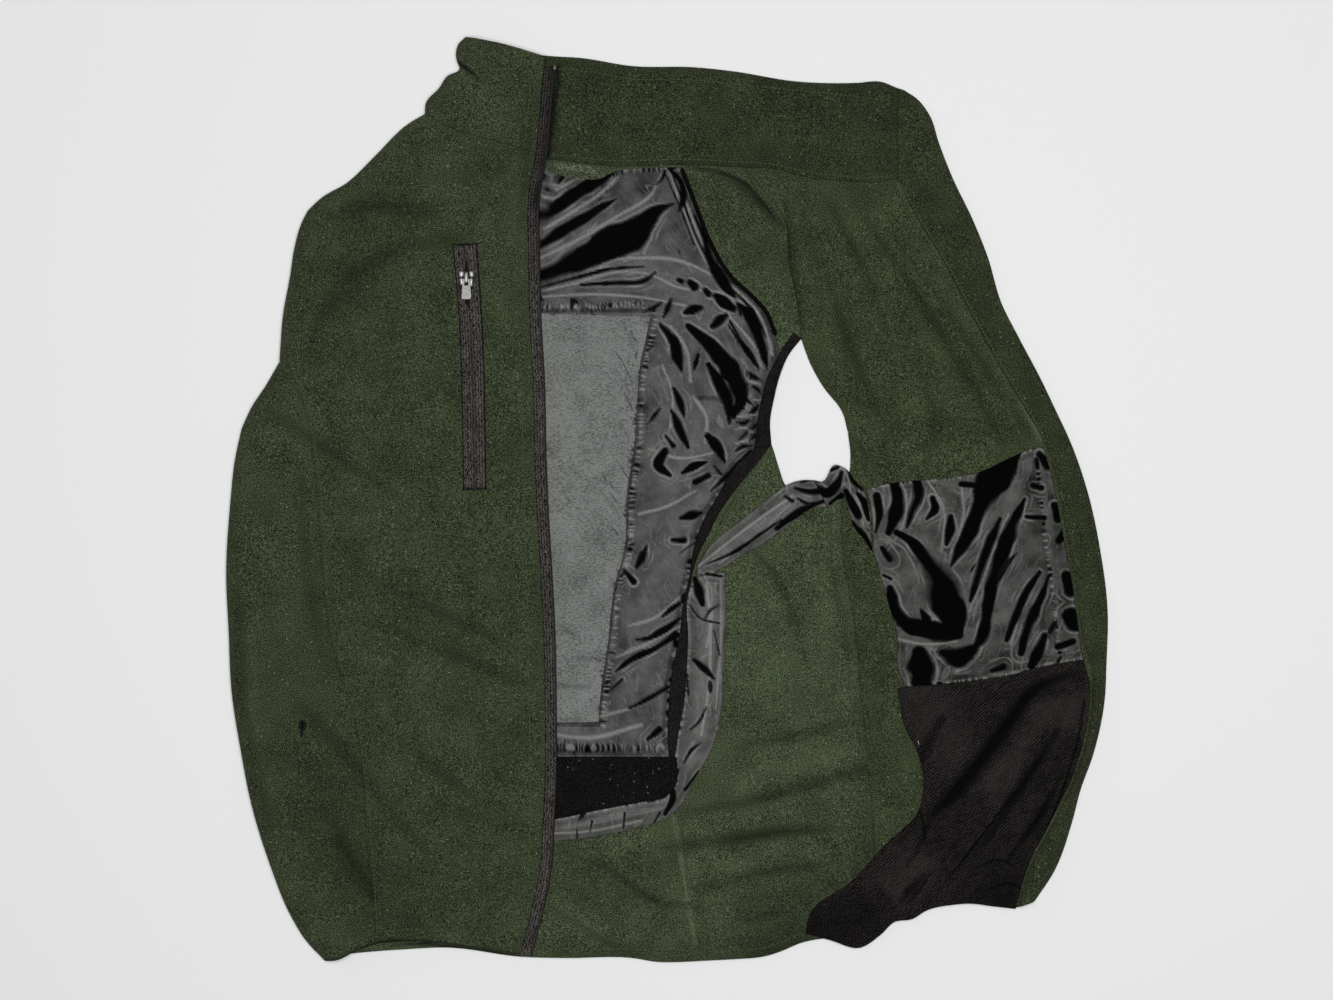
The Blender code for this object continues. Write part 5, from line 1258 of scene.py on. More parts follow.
@dataclass
class ClothPiece:
    """A cut piece of cloth that lies on something, as a thin wall with rolled edges."""

    name: str
    nodes: tuple[str, ...]
    edges: tuple[Array, Array, Array, Array]     # top, right, bottom, left
    level: Level
    wall: float
    finish: Finish
    slot: str
    flat: tuple[float, float]                    # cut size, m
    area: float                                  # cut area, square metres
    rests_on: tuple[str, ...] = ()
    step: float = 4.0
    roll: float = 2.6                            # width of the rolled edge
    edge_share: float = 0.4                      # share of the wall left at the very edge
    puff: float = 0.0                            # how far slack cloth stands off what it lies on
    puff_ramp: float = 9.0
    hills: tuple[float, float, int] = (0.25, 38.0, 1)   # height, spacing, seed
    ridges: tuple[Fold, ...] = ()
    troughs: tuple[Fold, ...] = ()
    dark: tuple[Fold, ...] = ()                  # painted shade: where folds darken the colour, as shares
    light: tuple[Fold, ...] = ()                 # painted highlight: where crests lighten the colour
    coarse: float = 0.0                          # hidden share across that is drawn coarsely
    glossy: bool = False
    slack: bool = False                          # stands off what it lies on
    held: str = "laid"
    hill_ramp: float = 6.0                       # how far from the edge the hills fade in
    trough_ramp: float = 2.5                     # and the troughs
    outline: Array = field(init=False)

    def __post_init__(self) -> None:
        """Joins the four edges to one closed outline."""
        top, right, bottom, left = self.edges
        self.outline = run(top, right, bottom[::-1], left[::-1])

    def base(self, x: Array, y: Array) -> tuple[Array, Array]:
        """Underside and top of the cloth.

        Formula: the level under it; then the wall, a quarter round at the edge; slack cloth
        stands off by the puff beyond a ramp, with ridges added and troughs taken away, and
        never sinks into what it lies on.
        """
        away = nearest(self.outline, x, y)[0]
        round_in = np.clip(away / self.roll, 0.0, 1.0)
        full = self.edge_share + (1.0 - self.edge_share) * np.sqrt(1.0 - (1.0 - round_in) ** 2)
        under = self.level(x, y)
        height, spacing, seed = self.hills
        free = smooth((away - 1.0) / self.hill_ramp)
        lift = self.puff * smooth(away / self.puff_ramp) + relief(self.ridges, x, y)
        lift = lift + height * (1.0 + ripple(x, y, spacing, seed)) * free
        lift = lift - relief(self.troughs, x, y) * smooth(away / self.trough_ramp)
        lift = np.maximum(lift, inner_level(x, y) - under if self.slack else 0.0)
        return under + (lift if self.slack else 0.0), under + lift + self.wall * full

    def surface(self, x: Array, y: Array) -> Array:
        """Height of the cloth's upper face, mm."""
        return self.base(np.asarray(x, float), np.asarray(y, float))[1]

    def build(self) -> bpy.types.Object:
        top, right, bottom, left = self.edges
        probe = span(self.edges, np.linspace(0, 1, 9), np.linspace(0, 1, 9))
        wide = np.linalg.norm(np.diff(probe, axis=1), axis=2).sum(1).max()
        long = np.linalg.norm(np.diff(probe, axis=0), axis=2).sum(0).max()
        rim = (0.25 * self.roll, 0.6 * self.roll, 1.1 * self.roll)
        u = stations(wide, self.step, rim, self.coarse)
        v = stations(long, self.step, rim)
        grid = span(self.edges, u, v)
        x, y = grid[..., 0], grid[..., 1]
        low, high = self.base(x, y)
        # painted shade and highlight: the shade attribute darkens the colour in folds and lightens
        # it on crests
        shade = np.clip(relief(self.dark, x, y) - relief(self.light, x, y), -1.0, 1.0)
        if self.glossy:
            shade = gloss_shade(self.troughs + self.dark, x, y)
        mesh = wall_mesh(self.name, grid, high, low, shade)
        thing = own(self.name, mesh, self.finish, "root", self.nodes)
        return thing


def strip_edges(inner: Array, outer: Array) -> tuple[Array, Array, Array, Array]:
    """Edges of a narrow strip between two long ones."""
    return (np.array((inner[0], outer[0])), outer, np.array((inner[-1], outer[-1])), inner)


def panel_edges(top: Sequence[Table], right: Sequence[Table], bottom: Sequence[Table],
                left: Sequence[Table]) -> tuple[Array, Array, Array, Array]:
    """Edges of a panel from lists of edge tables."""
    return joined(top), joined(right), joined(bottom), joined(left)


# ------------------------------------------------------------------ fleece body
@dataclass
class FleeceBody:
    """Back, sides, fronts, collar, flap and neck tab."""

    step: float = 4.0

    def pieces(self) -> list[ClothPiece]:
        """The cut fleece pieces."""
        made = []

        def panel(name: str, edges: tuple, level: Level, outer: bool, flat: tuple, area: float,
                  rests_on: tuple = (), wall: float = FLEECE_WALL, **more: object) -> None:
            """Adds a fleece panel."""
            made.append(ClothPiece(
                name + "_fleece", (name,), edges, level, wall,
                more.pop("finish", OUTER_FLEECE if outer else INNER_FLEECE),
                "fleece_outer" if outer else "fleece_inner", flat, area, rests_on,
                **{"step": self.step, "roll": 1.6, "edge_share": 0.72, **more}))

        panel("back_centre", panel_edges(
            [NECK_BACK], [SHOULDER_LEFT, ARMHOLE_BACK_LEFT, PRINCESS_BACK_LEFT],
            [HEM_BACK_CENTRE], [SHOULDER_HIDDEN, ARMHOLE_BACK_RIGHT, PRINCESS_BACK_RIGHT]),
            floor_level, False, (0.38, 0.65), 0.165, ("floor",), dark=BACK_SHADES,
            light=BACK_LIGHTS, troughs=BACK_FOLDS)
        panel("back_side_left", panel_edges(
            [ARMHOLE_LEFT_LOW], [SIDE_LEFT], [HEM_BACK_SIDE_LEFT], [PRINCESS_BACK_LEFT]),
            floor_level, False, (0.16, 0.41), 0.046, ("floor",), dark=BACK_SHADES,
            light=BACK_LIGHTS, troughs=BACK_FOLDS)
        panel("back_side_right", panel_edges(
            [ARMHOLE_BACK_RIGHT_LOW], [PRINCESS_BACK_RIGHT], [HEM_BACK_SIDE_RIGHT], [SIDE_HIDDEN]),
            floor_level, False, (0.16, 0.42), 0.055, ("floor",), step=9.0)
        panel("front_left_centre", panel_edges(
            [NECK_LEFT], [FRONT_EDGE_LEFT], [HEM_FRONT_CENTRE_LEFT],
            [SHOULDER_LEFT, ARMHOLE_FRONT_LEFT, PRINCESS_FRONT_LEFT]),
            floor_level, False, (0.25, 0.60), 0.08, ("floor",), finish=LEFT_FLEECE,
            dark=LEFT_SHADES, light=LEFT_LIGHTS, troughs=LEFT_FOLDS)
        panel("front_left_side", panel_edges(
            [ARMHOLE_FRONT_LEFT_LOW], [PRINCESS_FRONT_LEFT], [HEM_FRONT_SIDE_LEFT], [SIDE_LEFT]),
            floor_level, False, (0.065, 0.39), 0.014, ("floor",), finish=LEFT_FLEECE,
            dark=LEFT_SHADES)
        panel("front_right_centre", panel_edges(
            [NECK_FRONT_RIGHT], [FRONT_EDGE_RIGHT], [HEM_FRONT_CENTRE],
            [SHOULDER_FOLD, ARMHOLE_RIGHT, SIDE_PANEL_TOP, PRINCESS_FRONT_RIGHT]),
            front_level, True, (0.22, 0.64), 0.10, ("back_centre_fleece", "lining_back_taffeta"),
            dark=RIGHT_SHADES, troughs=RIGHT_FOLDS)
        panel("front_right_side", panel_edges(
            [SIDE_PANEL_TOP], [PRINCESS_FRONT_RIGHT], [HEM_FRONT_SIDE],
            [ARMHOLE_RIGHT_LOW, SIDE_FOLD]),
            front_level, True, (0.10, 0.47), 0.036, ("back_side_right_fleece",),
            dark=RIGHT_SHADES, troughs=RIGHT_FOLDS)
        panel("collar_back", panel_edges(
            [COLLAR_TOP], [COLLAR_END], [NECK_BACK, NECK_LEFT], [COLLAR_LEFT_HIDDEN]),
            floor_level, False, (0.37, 0.09), 0.026, ("floor",), wall=COLLAR_WALL, roll=3.0,
            finish=COLLAR_FLEECE, dark=BACK_SHADES)
        panel("collar_right", panel_edges(
            [COLLAR_TOP_RIGHT], [COLLAR_FRONT_EDGE], [NECK_FRONT_RIGHT], [COLLAR_FOLD]),
            front_level, True, (0.10, 0.09), 0.0058, ("collar_back_fleece",), wall=COLLAR_WALL,
            roll=3.0, step=2.2, dark=RIGHT_SHADES)
        flap_inner = joined([COLLAR_END, FRONT_EDGE_LEFT])
        panel("storm_flap", strip_edges(flap_inner, bend(FLAP_EDGE)), self.flap_level, False,
              (0.05, 0.68), 0.0165, ("floor",), step=3.5, finish=COLLAR_FLEECE)
        panel("neck_tab", strip_edges(np.array(NECK_TAB[:1:-1], float),
                                      np.array(NECK_TAB[:2], float)), inner_level, True,
              (0.04, 0.012), 0.0002, ("back_centre_fleece",), wall=TAFFETA_WALL, roll=0.8,
              step=1.5, finish=TAB_FLEECE)
        return made

    @staticmethod
    def flap_level(x: Array, y: Array) -> Array:
        """Underside of the flap: raised along its middle by the zip tape under it.

        Formula: what it stands off, times a level-topped hump of the share across the flap.
        """
        inner = nearest(joined([COLLAR_END, FRONT_EDGE_LEFT]), x, y)[0]
        outer = nearest(bend(FLAP_EDGE), x, y)[0]
        share = inner / np.maximum(inner + outer, 0.01)
        hump = np.clip(np.minimum(share, 1.0 - share) / 0.22, 0.0, 1.0)
        return (FLAP_STAND + SLIDER_STAND * smooth((-238.0 - y) / 24.0)) * hump

    def build(self) -> dict[str, ClothPiece]:
        """Builds the panels and returns them by name."""
        made = self.pieces()
        for piece in made:
            piece.build()
        return {piece.nodes[0]: piece for piece in made}


# ------------------------------------------------------------------ lining, pads, bags
@dataclass
class BackLining:
    """Lining of the back with its edgings, heater pad, lower band and wire channels."""

    def build(self) -> dict[str, ClothPiece]:
        """Builds the pieces and returns them by name."""
        lining = ClothPiece(
            "lining_back_taffeta", ("lining_back",), panel_edges(
                [LINING_TOP], [LINING_RIGHT, LINING_DIAGONAL], [LINING_BOTTOM],
                [LINING_LEFT_HIDDEN]),
            inner_level, TAFFETA_WALL, TAFFETA, "taffeta_grey", (0.32, 0.48), 0.115,
            ("back_centre_fleece",), step=1.5, roll=1.0, coarse=0.38, hills=(0.45, 17.0, 3),
            glossy=True, slack=True, troughs=LINING_CREASES + (
                Gather(LINING_TOP_GATHER, 5.0, 1.4, 5.0, 5),
                Gather(LINING_FOOT, 4.6, 1.3, 4.6, 9), Gather(DIAGONAL_GATHER, 9.0, 0.8, 3.2, 4),
                Gather(PAD_SEAM, 3.8, 1.0, 3.6, 6)))
        lining.level = self.lining_level
        pad = ClothPiece(
            "heater_pad_cover", ("heater_pad",), panel_edges(
                [PAD_TOP], [PAD_RIGHT], [PAD_BOTTOM], [PAD_LEFT_HIDDEN]),
            lambda x, y: inner_level(x, y) + TAFFETA_WALL + LAY_GAP + 0.35, 2.3, PAD_CLOTH,
            "pad_grey", (0.14, 0.32), 0.034, ("lining_back_taffeta",), step=1.6, roll=1.2,
            coarse=0.36, edge_share=0.8, glossy=True, dark=PAD_GATHERS + PAD_PUCKER_SHADE)
        band = ClothPiece(
            "band_lower_fleece", ("band_lower",), panel_edges(
                [BAND_TOP], [BAND_RIGHT], [BAND_BOTTOM], [BAND_LEFT_HIDDEN]),
            inner_level, FLEECE_WALL, BLACK_FLEECE, "fleece_black", (0.18, 0.05), 0.0078,
            ("back_centre_fleece",), step=3.0)
        binding = ClothPiece(
            "lining_binding_knit", ("lining_binding",), strip_edges(
                bend(LINING_DIAGONAL), bend(BINDING_OUTER)),
            inner_level, BINDING_WALL + 0.6, BINDING, "binding_black", (0.022, 0.26), 0.0026,
            ("back_centre_fleece",), step=1.6, roll=1.6)
        armhole = ClothPiece(
            "armhole_binding_knit", ("armhole_binding_left",), strip_edges(
                bend(ARMHOLE_BINDING_INNER), bend(ARMHOLE_BINDING_OUTER)),
            inner_level, BINDING_WALL, BINDING, "binding_black", (0.016, 0.09), 0.0009,
            ("back_centre_fleece",), step=1.6, roll=1.6)
        lower = ClothPiece(
            "channel_lower_taffeta", ("channel_lower",), strip_edges(
                bend(LOWER_CHANNEL_INNER), bend(LOWER_CHANNEL_OUTER)),
            inner_level, 1.4, CHANNEL_TAFFETA, "taffeta_grey", (0.03, 0.33), 0.0085,
            ("back_side_left_fleece",), step=1.1, roll=1.2, puff=1.5, puff_ramp=13.0,
            hills=(0.5, 13.0, 5), glossy=True, slack=True, troughs=CHANNEL_CREASES + (
                Gather(LOWER_CHANNEL_INNER, 4.6, 1.0, 3.6, 8),))
        upper = ClothPiece(
            "channel_upper_taffeta", ("channel_upper",), strip_edges(
                bend(UPPER_CHANNEL_LOW), bend(UPPER_CHANNEL_HIGH)),
            inner_level, 1.4, CHANNEL_TAFFETA, "taffeta_grey", (0.03, 0.115), 0.0032,
            ("back_side_left_fleece",), step=1.0, roll=1.2, puff=1.5, puff_ramp=11.0,
            hills=(0.6, 11.0, 6), glossy=True, slack=True, troughs=CHANNEL_CREASES)
        twist = ClothPiece(
            "channel_twist_taffeta", ("channel_twist",),
            (bend(TWIST_HIGH), bend(TWIST_END), bend(TWIST_LOW), bend(TWIST_START)),
            inner_level, 2.0, TAFFETA, "taffeta_grey", (0.045, 0.055), 0.0018,
            ("front_left_side_fleece",), step=0.8, roll=1.2, puff=4.0, puff_ramp=18.0,
            hills=(1.1, 8.0, 9), glossy=True, slack=True, troughs=TWIST_CREASES)
        made = [lining, pad, band, binding, armhole, lower, upper, twist]
        for piece in made:
            piece.build()
        self.piping()
        return {piece.nodes[0]: piece for piece in made}

    @staticmethod
    def lining_level(x: Array, y: Array) -> Array:
        """Underside of the lining before its creases: slack cloth that stands off the fleece.

        Formula: the fleece's top, plus what it stands off, which ramps up from the cut edge;
        under the pad and the closed front it lies down again.
        """
        edge = nearest(joined((LINING_TOP, LINING_RIGHT, LINING_DIAGONAL)), x, y)[0]
        pad_right = bend(PAD_RIGHT, 3)[::-1]
        right = x - np.interp(y, pad_right[:, 1], pad_right[:, 0])
        off = np.maximum(right, np.maximum(y - PAD_TOP[0][1], PAD_BOTTOM[0][1] - y))
        beside = LINING_STAND * smooth((off + 0.4) / 1.9) + LINING_SLOPE * smooth(off / 22.0)
        rim = 0.45 * smooth((edge - 0.5) / 3.5) + 0.55 * smooth((edge - 3.0) / 26.0)
        foot = smooth((y + 195.0) / 6.0)
        open_part = smooth((x + 112.0) / 22.0)
        more = SHOULDER_STAND * smooth((y - 150.0) / 40.0) * smooth((x + 105.0) / 40.0)
        return inner_level(x, y) + (beside + more) * rim * foot * (0.3 + 0.7 * open_part)

    @staticmethod
    def piping() -> bpy.types.Object:
        """Round piping, 3.2 mm thick, carried along its path on the fleece."""
        line = bend(PIPING_PATH, 12)
        radius = np.full(len(line), 1.6)
        radius[[0, -1]] = 0.05
        path = np.column_stack([line, inner_level(line[:, 0], line[:, 1]) + 1.6])
        return own("lining_piping_knit", tubes("lining_piping_knit", [(path, radius)]), BINDING,
                   "root", ("lining_piping",))


@dataclass
class LeftFrontLinings:
    """Satin heater patch and tricot hand pocket bag on the opened left front."""

    def build(self) -> dict[str, ClothPiece]:
        """Builds both pieces and returns them by name."""
        patch = ClothPiece(
            "heater_patch_satin", ("heater_patch_left",), panel_edges(
                [PATCH_TOP], [PATCH_RIGHT], [PATCH_BOTTOM], [PATCH_LEFT]),
            inner_level, TAFFETA_WALL, SATIN, "satin_black", (0.20, 0.20), 0.03,
            ("front_left_centre_fleece",), step=0.9, roll=1.0, puff=3.6, puff_ramp=40.0,
            hills=(0.5, 13.0, 8), glossy=True, slack=True, troughs=PATCH_CREASES + (
                Gather(PATCH_PUCKER, 4.6, 1.0, 2.2, 2), Gather(PATCH_TOP, 7.0, 1.0, 2.6, 6),
                Gather(PATCH_BOTTOM, 7.0, 1.2, 2.6, 11)))
        bag = ClothPiece(
            "pocket_bag_tricot", ("pocket_bag_left",), panel_edges(
                [BAG_TOP], [BAG_RIGHT], [BAG_BOTTOM], [BAG_LEFT]),
            inner_level, TRICOT_WALL, TRICOT, "tricot_black", (0.18, 0.25), 0.029,
            ("front_left_centre_fleece",), step=1.2, roll=1.2, puff=2.4, puff_ramp=16.0,
            slack=True, troughs=BAG_FOLDS, dark=BAG_SHADES, light=BAG_LIGHTS)
        made = [patch, bag]
        for piece in made:
            piece.build()
        return {piece.nodes[0]: piece for piece in made}


# ------------------------------------------------------------------ zips
@dataclass
class Closures:
    """Front zip halves, chest pocket zip, sliders and pull tabs."""

    def build(self) -> dict[str, ClothPiece]:
        """Builds the tapes and dresses the metal; returns the tapes by name."""
        edge = joined([COLLAR_FRONT_EDGE[1:], FRONT_EDGE_RIGHT])
        outer = shifted(edge, TAPE_WIDTH)
        right = ClothPiece(
            "front_zip_right_tape", ("front_zip_right",), strip_edges(edge, outer), front_level,
            TAPE_WALL, ZIP_TAPE, "zip_tape", (0.012, 0.69), 0.0063, ("heater_pad_cover",),
            step=3.0, roll=1.2, hills=(0.0, 38.0, 1), dark=TAPE_DARKENING + (
                # painted shadow: a dark line along the tape's outer edge
                Crease(tuple((x, y, 1.7) for x, y in outer[::6]), 0.5),))
        inner, far = joined([COLLAR_END, FRONT_EDGE_LEFT]), bend(FLAP_EDGE)
        shares = np.linspace(0.03, 0.942, 160)
        near, away = at(inner, shares), at(far, shares)
        left = ClothPiece(
            "front_zip_left_tape", ("front_zip_left",),
            strip_edges(near * 0.66 + away * 0.34, near * 0.36 + away * 0.64),
            lambda x, y: np.zeros(x.shape), 1.2, ZIP_TAPE, "zip_tape", (0.01, 0.64), 0.0052,
            ("floor",), step=4.0, roll=1.0, hills=(0.0, 38.0, 1))
        welt = ClothPiece(
            "chest_zip_welt", ("chest_zip_tape",), panel_edges(
                [(CHEST_ZIP_LEFT[0], CHEST_ZIP_RIGHT[0])], [CHEST_ZIP_RIGHT],
                [(CHEST_ZIP_LEFT[-1], CHEST_ZIP_RIGHT[-1])], [CHEST_ZIP_LEFT]),
            lambda x, y: front_level(x, y) + FLEECE_WALL + LAY_GAP, TRICOT_WALL, ZIP_TAPE,
            "zip_tape", (0.02, 0.19), 0.0035, ("front_right_centre_fleece",), step=0.9,
            roll=1.0, hills=(0.0, 38.0, 1), dark=WELT_SHADES + WELT_OPEN, troughs=WELT_OPEN)
        tapes = (right, left, welt)
        for tape in tapes:
            tape.build()
        self.lobes()
        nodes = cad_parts
        # the chest slider's body is black as painted shade between its lobes
        for name, finish in (("chest_slider", BLACK_PAINT_AND_SHADE), ("chest_pull", NICKEL),
                             ("front_slider", BLACK_PAINT_AND_SHADE)):
            metal = nodes[name]
            metal.data.materials.clear()
            metal.data.materials.append(finish.material())
        return {tape.nodes[0]: tape for tape in tapes}

    @staticmethod
    def lobes() -> None:
        """Painted-highlight nickel lobes: two down each side of the chest slider, the bridge over
        them.
        """
        centre = np.array((*SLIDER_CENTRE, 0.0))
        lobes = [(path + centre, radius) for path, radius in bars(SLIDER_LOBES, 4, 0.002)]
        own("chest_slider_lobes", tubes("chest_slider_lobes", lobes), NICKEL_AND_HIGHLIGHT, "root")
        for name, body, shapes in (("hand_slider", "root", HAND_SLIDER_BARS),
                                   ("hand_pull", "hand_pull", HAND_PULL_BARS)):
            own(name + "_bars", tubes(name + "_bars", bars(shapes, 6, 0.01)), BLACK_PAINT_AND_SHADE, body,
                (name,))


def shifted(line: Array, distance: float) -> Array:
    """A line moved to its left by distance, each point along the mean of its two steps."""
    way = np.gradient(line, axis=0)
    way /= np.linalg.norm(way, axis=1, keepdims=True)
    return line + distance * np.stack([-way[:, 1], way[:, 0]], axis=1)


@dataclass(frozen=True)
class SeamRow:
    """A row of machine stitches along a path on one piece."""

    path: Table
    piece: str
    shift: float = 0.0        # row moved to the left of the path, mm
    pitch: float = 3.4
    length: float = 2.5
    radius: float = 0.5
    across: bool = False      # turned square to the row, as zip teeth are


SHOULDER_SEAM = ((60, 254), (76, 236), (90, 216))
FLAP_SEAM = ((178, 243), (192, 217), (213, 182), (233, 144), (256, 102), (277, 67), (289, 45))
OUTER_ROWS = (SeamRow(((-291, 105), (-280, 78), (-270, 24), (-265, -38), (-259, -100),
    (-251, -130), (-240, -169), (-235, -200), (-229, -260), (-225, -332)), "front_right_centre",
    2.0), SeamRow(((-110, 262), (-116, 232), (-116, 193), (-115, 145), (-112, 88), (-111, 38),
    (-108, -60), (-106, -160), (-106, -260), (-113, -334)), "front_right_centre"),
    SeamRow(((-222, -331), (-194, -329), (-167, -332), (-141, -336), (-117, -338)),
    "front_right_centre"), SeamRow(((-262, -345), (-252, -344), (-238, -337), (-227, -332)),
    "front_right_side"), SeamRow(((-158, 343), (-126, 342), (-106, 338)), "collar_right"),
    SeamRow(((-104, 330), (-107, 300), (-110, 272)), "collar_right"))
INNER_ROWS = (SeamRow(((-88, 333), (-65, 331), (-28, 325), (21, 324), (50, 321), (100, 316),
    (140, 312), (172, 308)), "collar_back"), SeamRow(((-90, 266), (-42, 261), (10, 262), (54, 260),
    (83, 258), (110, 252), (135, 249), (160, 248), (174, 250)), "collar_back", 1.0),
    SeamRow(SHOULDER_SEAM, "front_left_centre", 2.5), SeamRow(SHOULDER_SEAM, "back_centre", -4.0),
    SeamRow(((137, 58), (151, 37), (154, 20)), "front_left_centre", 3.0), SeamRow(FLAP_SEAM,
    "front_left_centre", -1.6, 3.0, 2.6, 0.62), SeamRow(FLAP_SEAM, "storm_flap", 2.4, 3.0, 2.6,
    0.62), SeamRow(((327, -126), (326, -156), (316, -206), (298, -244), (283, -275)),
    "front_left_centre", -3.0), SeamRow(((5, -240), (15, -311), (28, -348)), "back_centre", 3.0),
    SeamRow(((-108, -344), (-80, -345), (-27, -345), (18, -346)), "back_centre"),
    SeamRow(((36, -347), (78, -343), (104, -333)), "back_side_left"))
BAG_ROWS = (SeamRow(BAG_RIGHT[1:-1], "pocket_bag_left", 7.0, 2.4, 1.9, 0.4),
    SeamRow(BAG_RIGHT[1:-1], "pocket_bag_left", 3.0, 2.4, 1.9, 0.4))
# the hand pocket's slit: black bars that paint the shade in its opening, thick by the slider and
# faint below it
POCKET_ROWS = (SeamRow(((-280.4, -168), (-281.5, -182)), "front_right_side", 0.0, 2.6, 2.7, 0.7),
    SeamRow(((-282.5, -200), (-284, -225), (-288, -262)), "front_right_side", 0.0, 3.4, 2.7, 0.3))
KNOT_ROWS = (SeamRow(((192.6, -183.6), (193.6, -188.4)), "pocket_bag_left", 0.0, 4.6, 3.6, 0.5),)
TAPE_EDGE = COLLAR_FRONT_EDGE[1:] + FRONT_EDGE_RIGHT[1:]
CHEST_LINE = tuple((0.5 * (a[0] + b[0]), 0.5 * (a[1] + b[1]))
                   for a, b in zip(CHEST_ZIP_LEFT, CHEST_ZIP_RIGHT))
TAPE_ROWS = tuple(SeamRow(TAPE_EDGE, "front_zip_right", shift, 2.6, 1.7, 0.34)
                  for shift in (1.6, 3.4))
CHEST_ROWS = tuple(SeamRow(edge, "chest_zip_tape", shift, 2.6, 1.7, 0.34)
                   for edge, shift in ((CHEST_ZIP_LEFT, 2.0), (CHEST_ZIP_RIGHT, -2.0)))
TOOTH_ROWS = (SeamRow(TAPE_EDGE, "front_zip_right", 8.0, 1.5, 1.7, 0.45, True),)
SLIDER_CENTRE = (-154.0, 169.0)
# paths and radii of bars, mm; the lobes' x and y are from the slider's centre
SLIDER_LOBES = ((((-3.3, 7.0, 15.1), (-3.9, 4.8, 15.5), (-3.8, 2.4, 15.2)), 1.9),
    (((3.3, 7.0, 15.1), (3.9, 4.8, 15.5), (3.8, 2.4, 15.2)), 1.75), (((-3.9, 1.8, 15.2),
    (-3.7, -1.0, 15.4), (-3.3, -3.8, 15.1)), 1.4), (((3.9, 1.8, 15.2), (3.6, -1.0, 15.4),
    (3.3, -4.8, 15.1)), 1.2), (((0, 6.2, 15.2), (0, 5.0, 17.2), (0, 2.6, 18.3), (0, 0, 18.5),
    (0, -2.4, 18.2)), 1.3))
HAND_SLIDER_BARS = ((((-281.2, -168.2, 11.9), (-281.5, -172, 12.0), (-281.0, -176, 11.9)), 1.1),
    (((-278.8, -168.2, 11.9), (-278.5, -172, 12.0), (-279.0, -176, 11.9)), 1.1),
    (((-280, -169.4, 12.2), (-280, -170.4, 14.2), (-280, -173.2, 14.3), (-280, -173.8, 12.4)),
    0.6))
HAND_PULL_BARS = ((((-280, -171.6, 13.46), (-280.1, -175, 13.46), (-280.4, -180.8, 13.46)), 0.8),)
COIL_ROWS = (SeamRow(CHEST_LINE[1:], "chest_zip_tape", 0.0, 1.5, 3.0, 0.4, True),
    SeamRow(((-155.4, 194), (-155.3, 186)), "chest_zip_tape", 0.0, 1.5, 3.0, 0.4, True))
STOP_ROWS = (SeamRow(((-86.4, 334.4), (-87.0, 330.2)), "front_zip_right", 0.0, 4.0, 4.6, 1.7),)


def prisms(name: str, centre: Array, way: Array, length: float, radius: Array,
           sink: float) -> bpy.types.Mesh:
    """One mesh of small rounded bars.

    Formula: a ring of points at each of four stations along a bar, the end stations drawn in
    to 0.4 of the radius and sunk into the cloth.

    Args:
        name: the mesh's name.
        centre: the bars' middles, mm.
        way: the way each one points.
        length: of all the bars, mm.
        radius: of each bar, mm.
        sink: how far the ends go down, mm.

    Returns:
        The mesh.
    """
    shares = np.array((-0.5, -0.28, 0.28, 0.5))
    narrow, sunk = np.array((0.4, 1.0, 1.0, 0.4)), np.array((1.0, 0.0, 0.0, 1.0)) * sink
    angle = np.arange(BAR_SIDES) / BAR_SIDES * 2 * math.pi + 0.3
    way = way / np.linalg.norm(way, axis=1, keepdims=True)
    side = np.stack([-way[:, 1], way[:, 0], np.zeros(len(way))], axis=1)
    ahead = np.pad(way, ((0, 0), (0, 1)))
    ring = (side[:, None] * np.cos(angle)[None, :, None]
            + np.array((0, 0, 1.0)) * np.sin(angle)[None, :, None])
    points = (centre[:, None, None] + length * shares[None, :, None, None] * ahead[:, None, None]
              + radius[:, None, None, None] * narrow[None, :, None, None] * ring[:, None])
    points[..., 2] -= sunk[None, :, None]
    rings = np.arange(len(shares)) * BAR_SIDES
    base = np.arange(len(centre))[:, None, None] * len(shares) * BAR_SIDES
    here, j = base + rings[None, :-1, None], np.arange(BAR_SIDES)[None, None]
    there, j2 = here + BAR_SIDES, (j + 1) % BAR_SIDES
    sides = np.stack([there + j, there + j2, here + j2, here + j], axis=-1)
    first = base.ravel()[:, None] + np.arange(BAR_SIDES)
    last = (first + rings[-1])[:, ::-1]
    return solid(name, points.reshape(-1, 3),
                 sides.reshape(-1, 4).tolist() + first.tolist() + last.tolist())


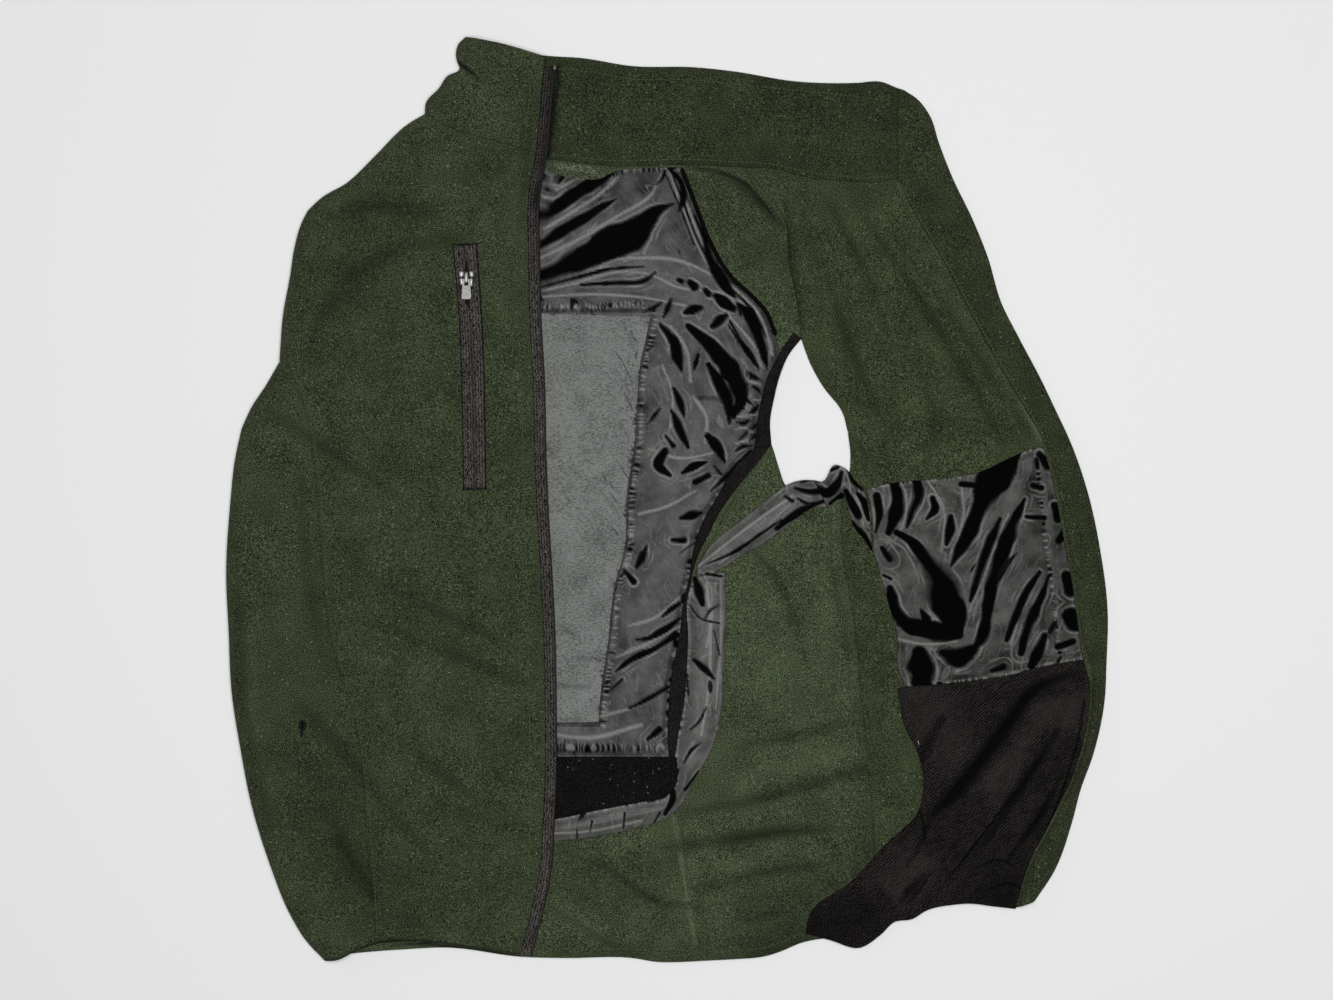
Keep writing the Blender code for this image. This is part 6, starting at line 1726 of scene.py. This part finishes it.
@dataclass
class ThreadWork:
    """Topstitching of the seams and hems, and the zips' teeth."""

    pieces: dict[str, ClothPiece]
    sink: float = 0.35        # share of a bar's radius that its middle stands up

    def rows(self, name: str, finish: Finish, slot: str, rows: Sequence[SeamRow]) -> None:
        """Lays rows of bars on their pieces, as one object."""
        centres, ways, radii, length = [], [], [], rows[0].length
        for row in rows:
            line = bend(row.path, 8)[:, :2]
            if row.shift:
                line = shifted(line, row.shift)
            total = along(line)[1]
            shares = np.arange(0.5, total / row.pitch) * row.pitch / total
            spots = at(line, shares)
            ahead, behind = np.minimum(shares + 0.002, 1), np.maximum(shares - 0.002, 0)
            step = at(line, ahead) - at(line, behind)
            way = np.stack([-step[:, 1], step[:, 0]], axis=1) if row.across else step
            z = self.pieces[row.piece].surface(spots[:, 0], spots[:, 1])
            centres.append(np.column_stack([spots, z + self.sink * row.radius]))
            ways.append(way)
            radii.append(np.full(len(spots), row.radius))
        mesh = prisms(name, np.concatenate(centres), np.concatenate(ways), length,
                      np.concatenate(radii), self.sink)
        own(name, mesh, finish, "root")

    def build(self) -> None:
        """Sews the visible rows."""
        for name, finish, slot, rows in (
                ("seams_outer_thread", GREEN_THREAD, "fleece_outer", OUTER_ROWS),
                ("seams_inner_thread", GREEN_THREAD, "fleece_inner", INNER_ROWS),
                ("zip_tape_thread", TAPE_THREAD, "zip_tape", TAPE_ROWS + CHEST_ROWS),
                ("zip_teeth", TOOTH, "zip_tape", TOOTH_ROWS),
                ("chest_coil", TOOTH, "zip_tape", COIL_ROWS),
                ("bag_thread", KNIT_THREAD, "tricot_black", BAG_ROWS),
                ("loose_thread_end", LOOSE_THREAD, "tricot_black", KNOT_ROWS),
                ("hand_pocket_slit_shade", SLIT_SHADE_BLACK, "zip_tape", POCKET_ROWS),
                ("zip_stop", NICKEL, "zinc_nickel", STOP_ROWS)):
            self.rows(name, finish, slot, rows)


# ------------------------------------------------------------------ stage, light, camera
@dataclass
class Studio:
    """Pale floor, soft box overhead, soft fill and the camera straight above."""

    floor_colour: str = "#eeeeee"
    floor_size: float = 6.0           # from the middle to a side, m
    floor_z: float = -0.0004
    fill: float = 0.10                # strength of the light from all round
    camera_at: tuple[float, float, float] = (-0.0008, 0.0008, 2.426)
    lens: float = 85.0
    sensor: float = 36.0

    def build(self) -> None:
        """Makes the floor, the lights and the camera."""
        mesh = bpy.data.meshes.new("floor")
        s, z = self.floor_size, self.floor_z
        mesh.from_pydata([(-s, -s, z), (s, -s, z), (s, s, z), (-s, s, z)], [], [(0, 1, 2, 3)])
        floor = bpy.data.objects.new("floor", mesh)
        bpy.context.scene.collection.objects.link(floor)
        paint = bpy.data.materials.new("floor_paper")
        paint.use_nodes = True
        feed(paint.node_tree, paint.node_tree.nodes["Principled BSDF"],
             {"Base Color": linear(self.floor_colour), "Roughness": 0.9,
              "Specular IOR Level": 0.0})
        mesh.materials.append(paint)
        self.light("soft_box", (0.2, 0.1, 3.0), (0.2, 0.1, 0.0), 2.0, 86.0)
        self.light("soft_side", (-4.0, 2.5, 1.7), (0.0, 0.0, 0.0), 2.2, 18.0)
        world = bpy.data.worlds.new("studio")
        bpy.context.scene.world = world
        world.use_nodes = True
        feed(world.node_tree, world.node_tree.nodes["Background"],
             {"Color": linear("#ffffff"), "Strength": self.fill})
        data = bpy.data.cameras.new("camera")
        data.lens = self.lens
        data.sensor_width = self.sensor
        camera = bpy.data.objects.new("camera", data)
        camera.location = self.camera_at
        bpy.context.scene.collection.objects.link(camera)
        bpy.context.scene.camera = camera
        bpy.context.scene.view_settings.view_transform = "Standard"

    @staticmethod
    def light(name: str, place: tuple, aim: tuple, size: float, power: float) -> None:
        """A square area light at a place, turned to a point."""
        data = bpy.data.lights.new(name, "AREA")
        data.size = size
        data.energy = power
        lamp = bpy.data.objects.new(name, data)
        lamp.location = place
        way = Vector(aim) - Vector(place)
        lamp.rotation_euler = way.to_track_quat("-Z", "Y").to_euler()
        bpy.context.scene.collection.objects.link(lamp)


def main() -> None:
    """Builds the stage, then the vest from the surface upwards."""
    logging.basicConfig(level=logging.INFO, format="%(name)s: %(message)s")
    Studio().build()
    pieces: dict[str, ClothPiece] = {}
    for part in (FleeceBody(), BackLining(), LeftFrontLinings(), Closures()):
        pieces.update(part.build())
    ThreadWork(pieces).build()


if __name__ == "__main__":
    main()
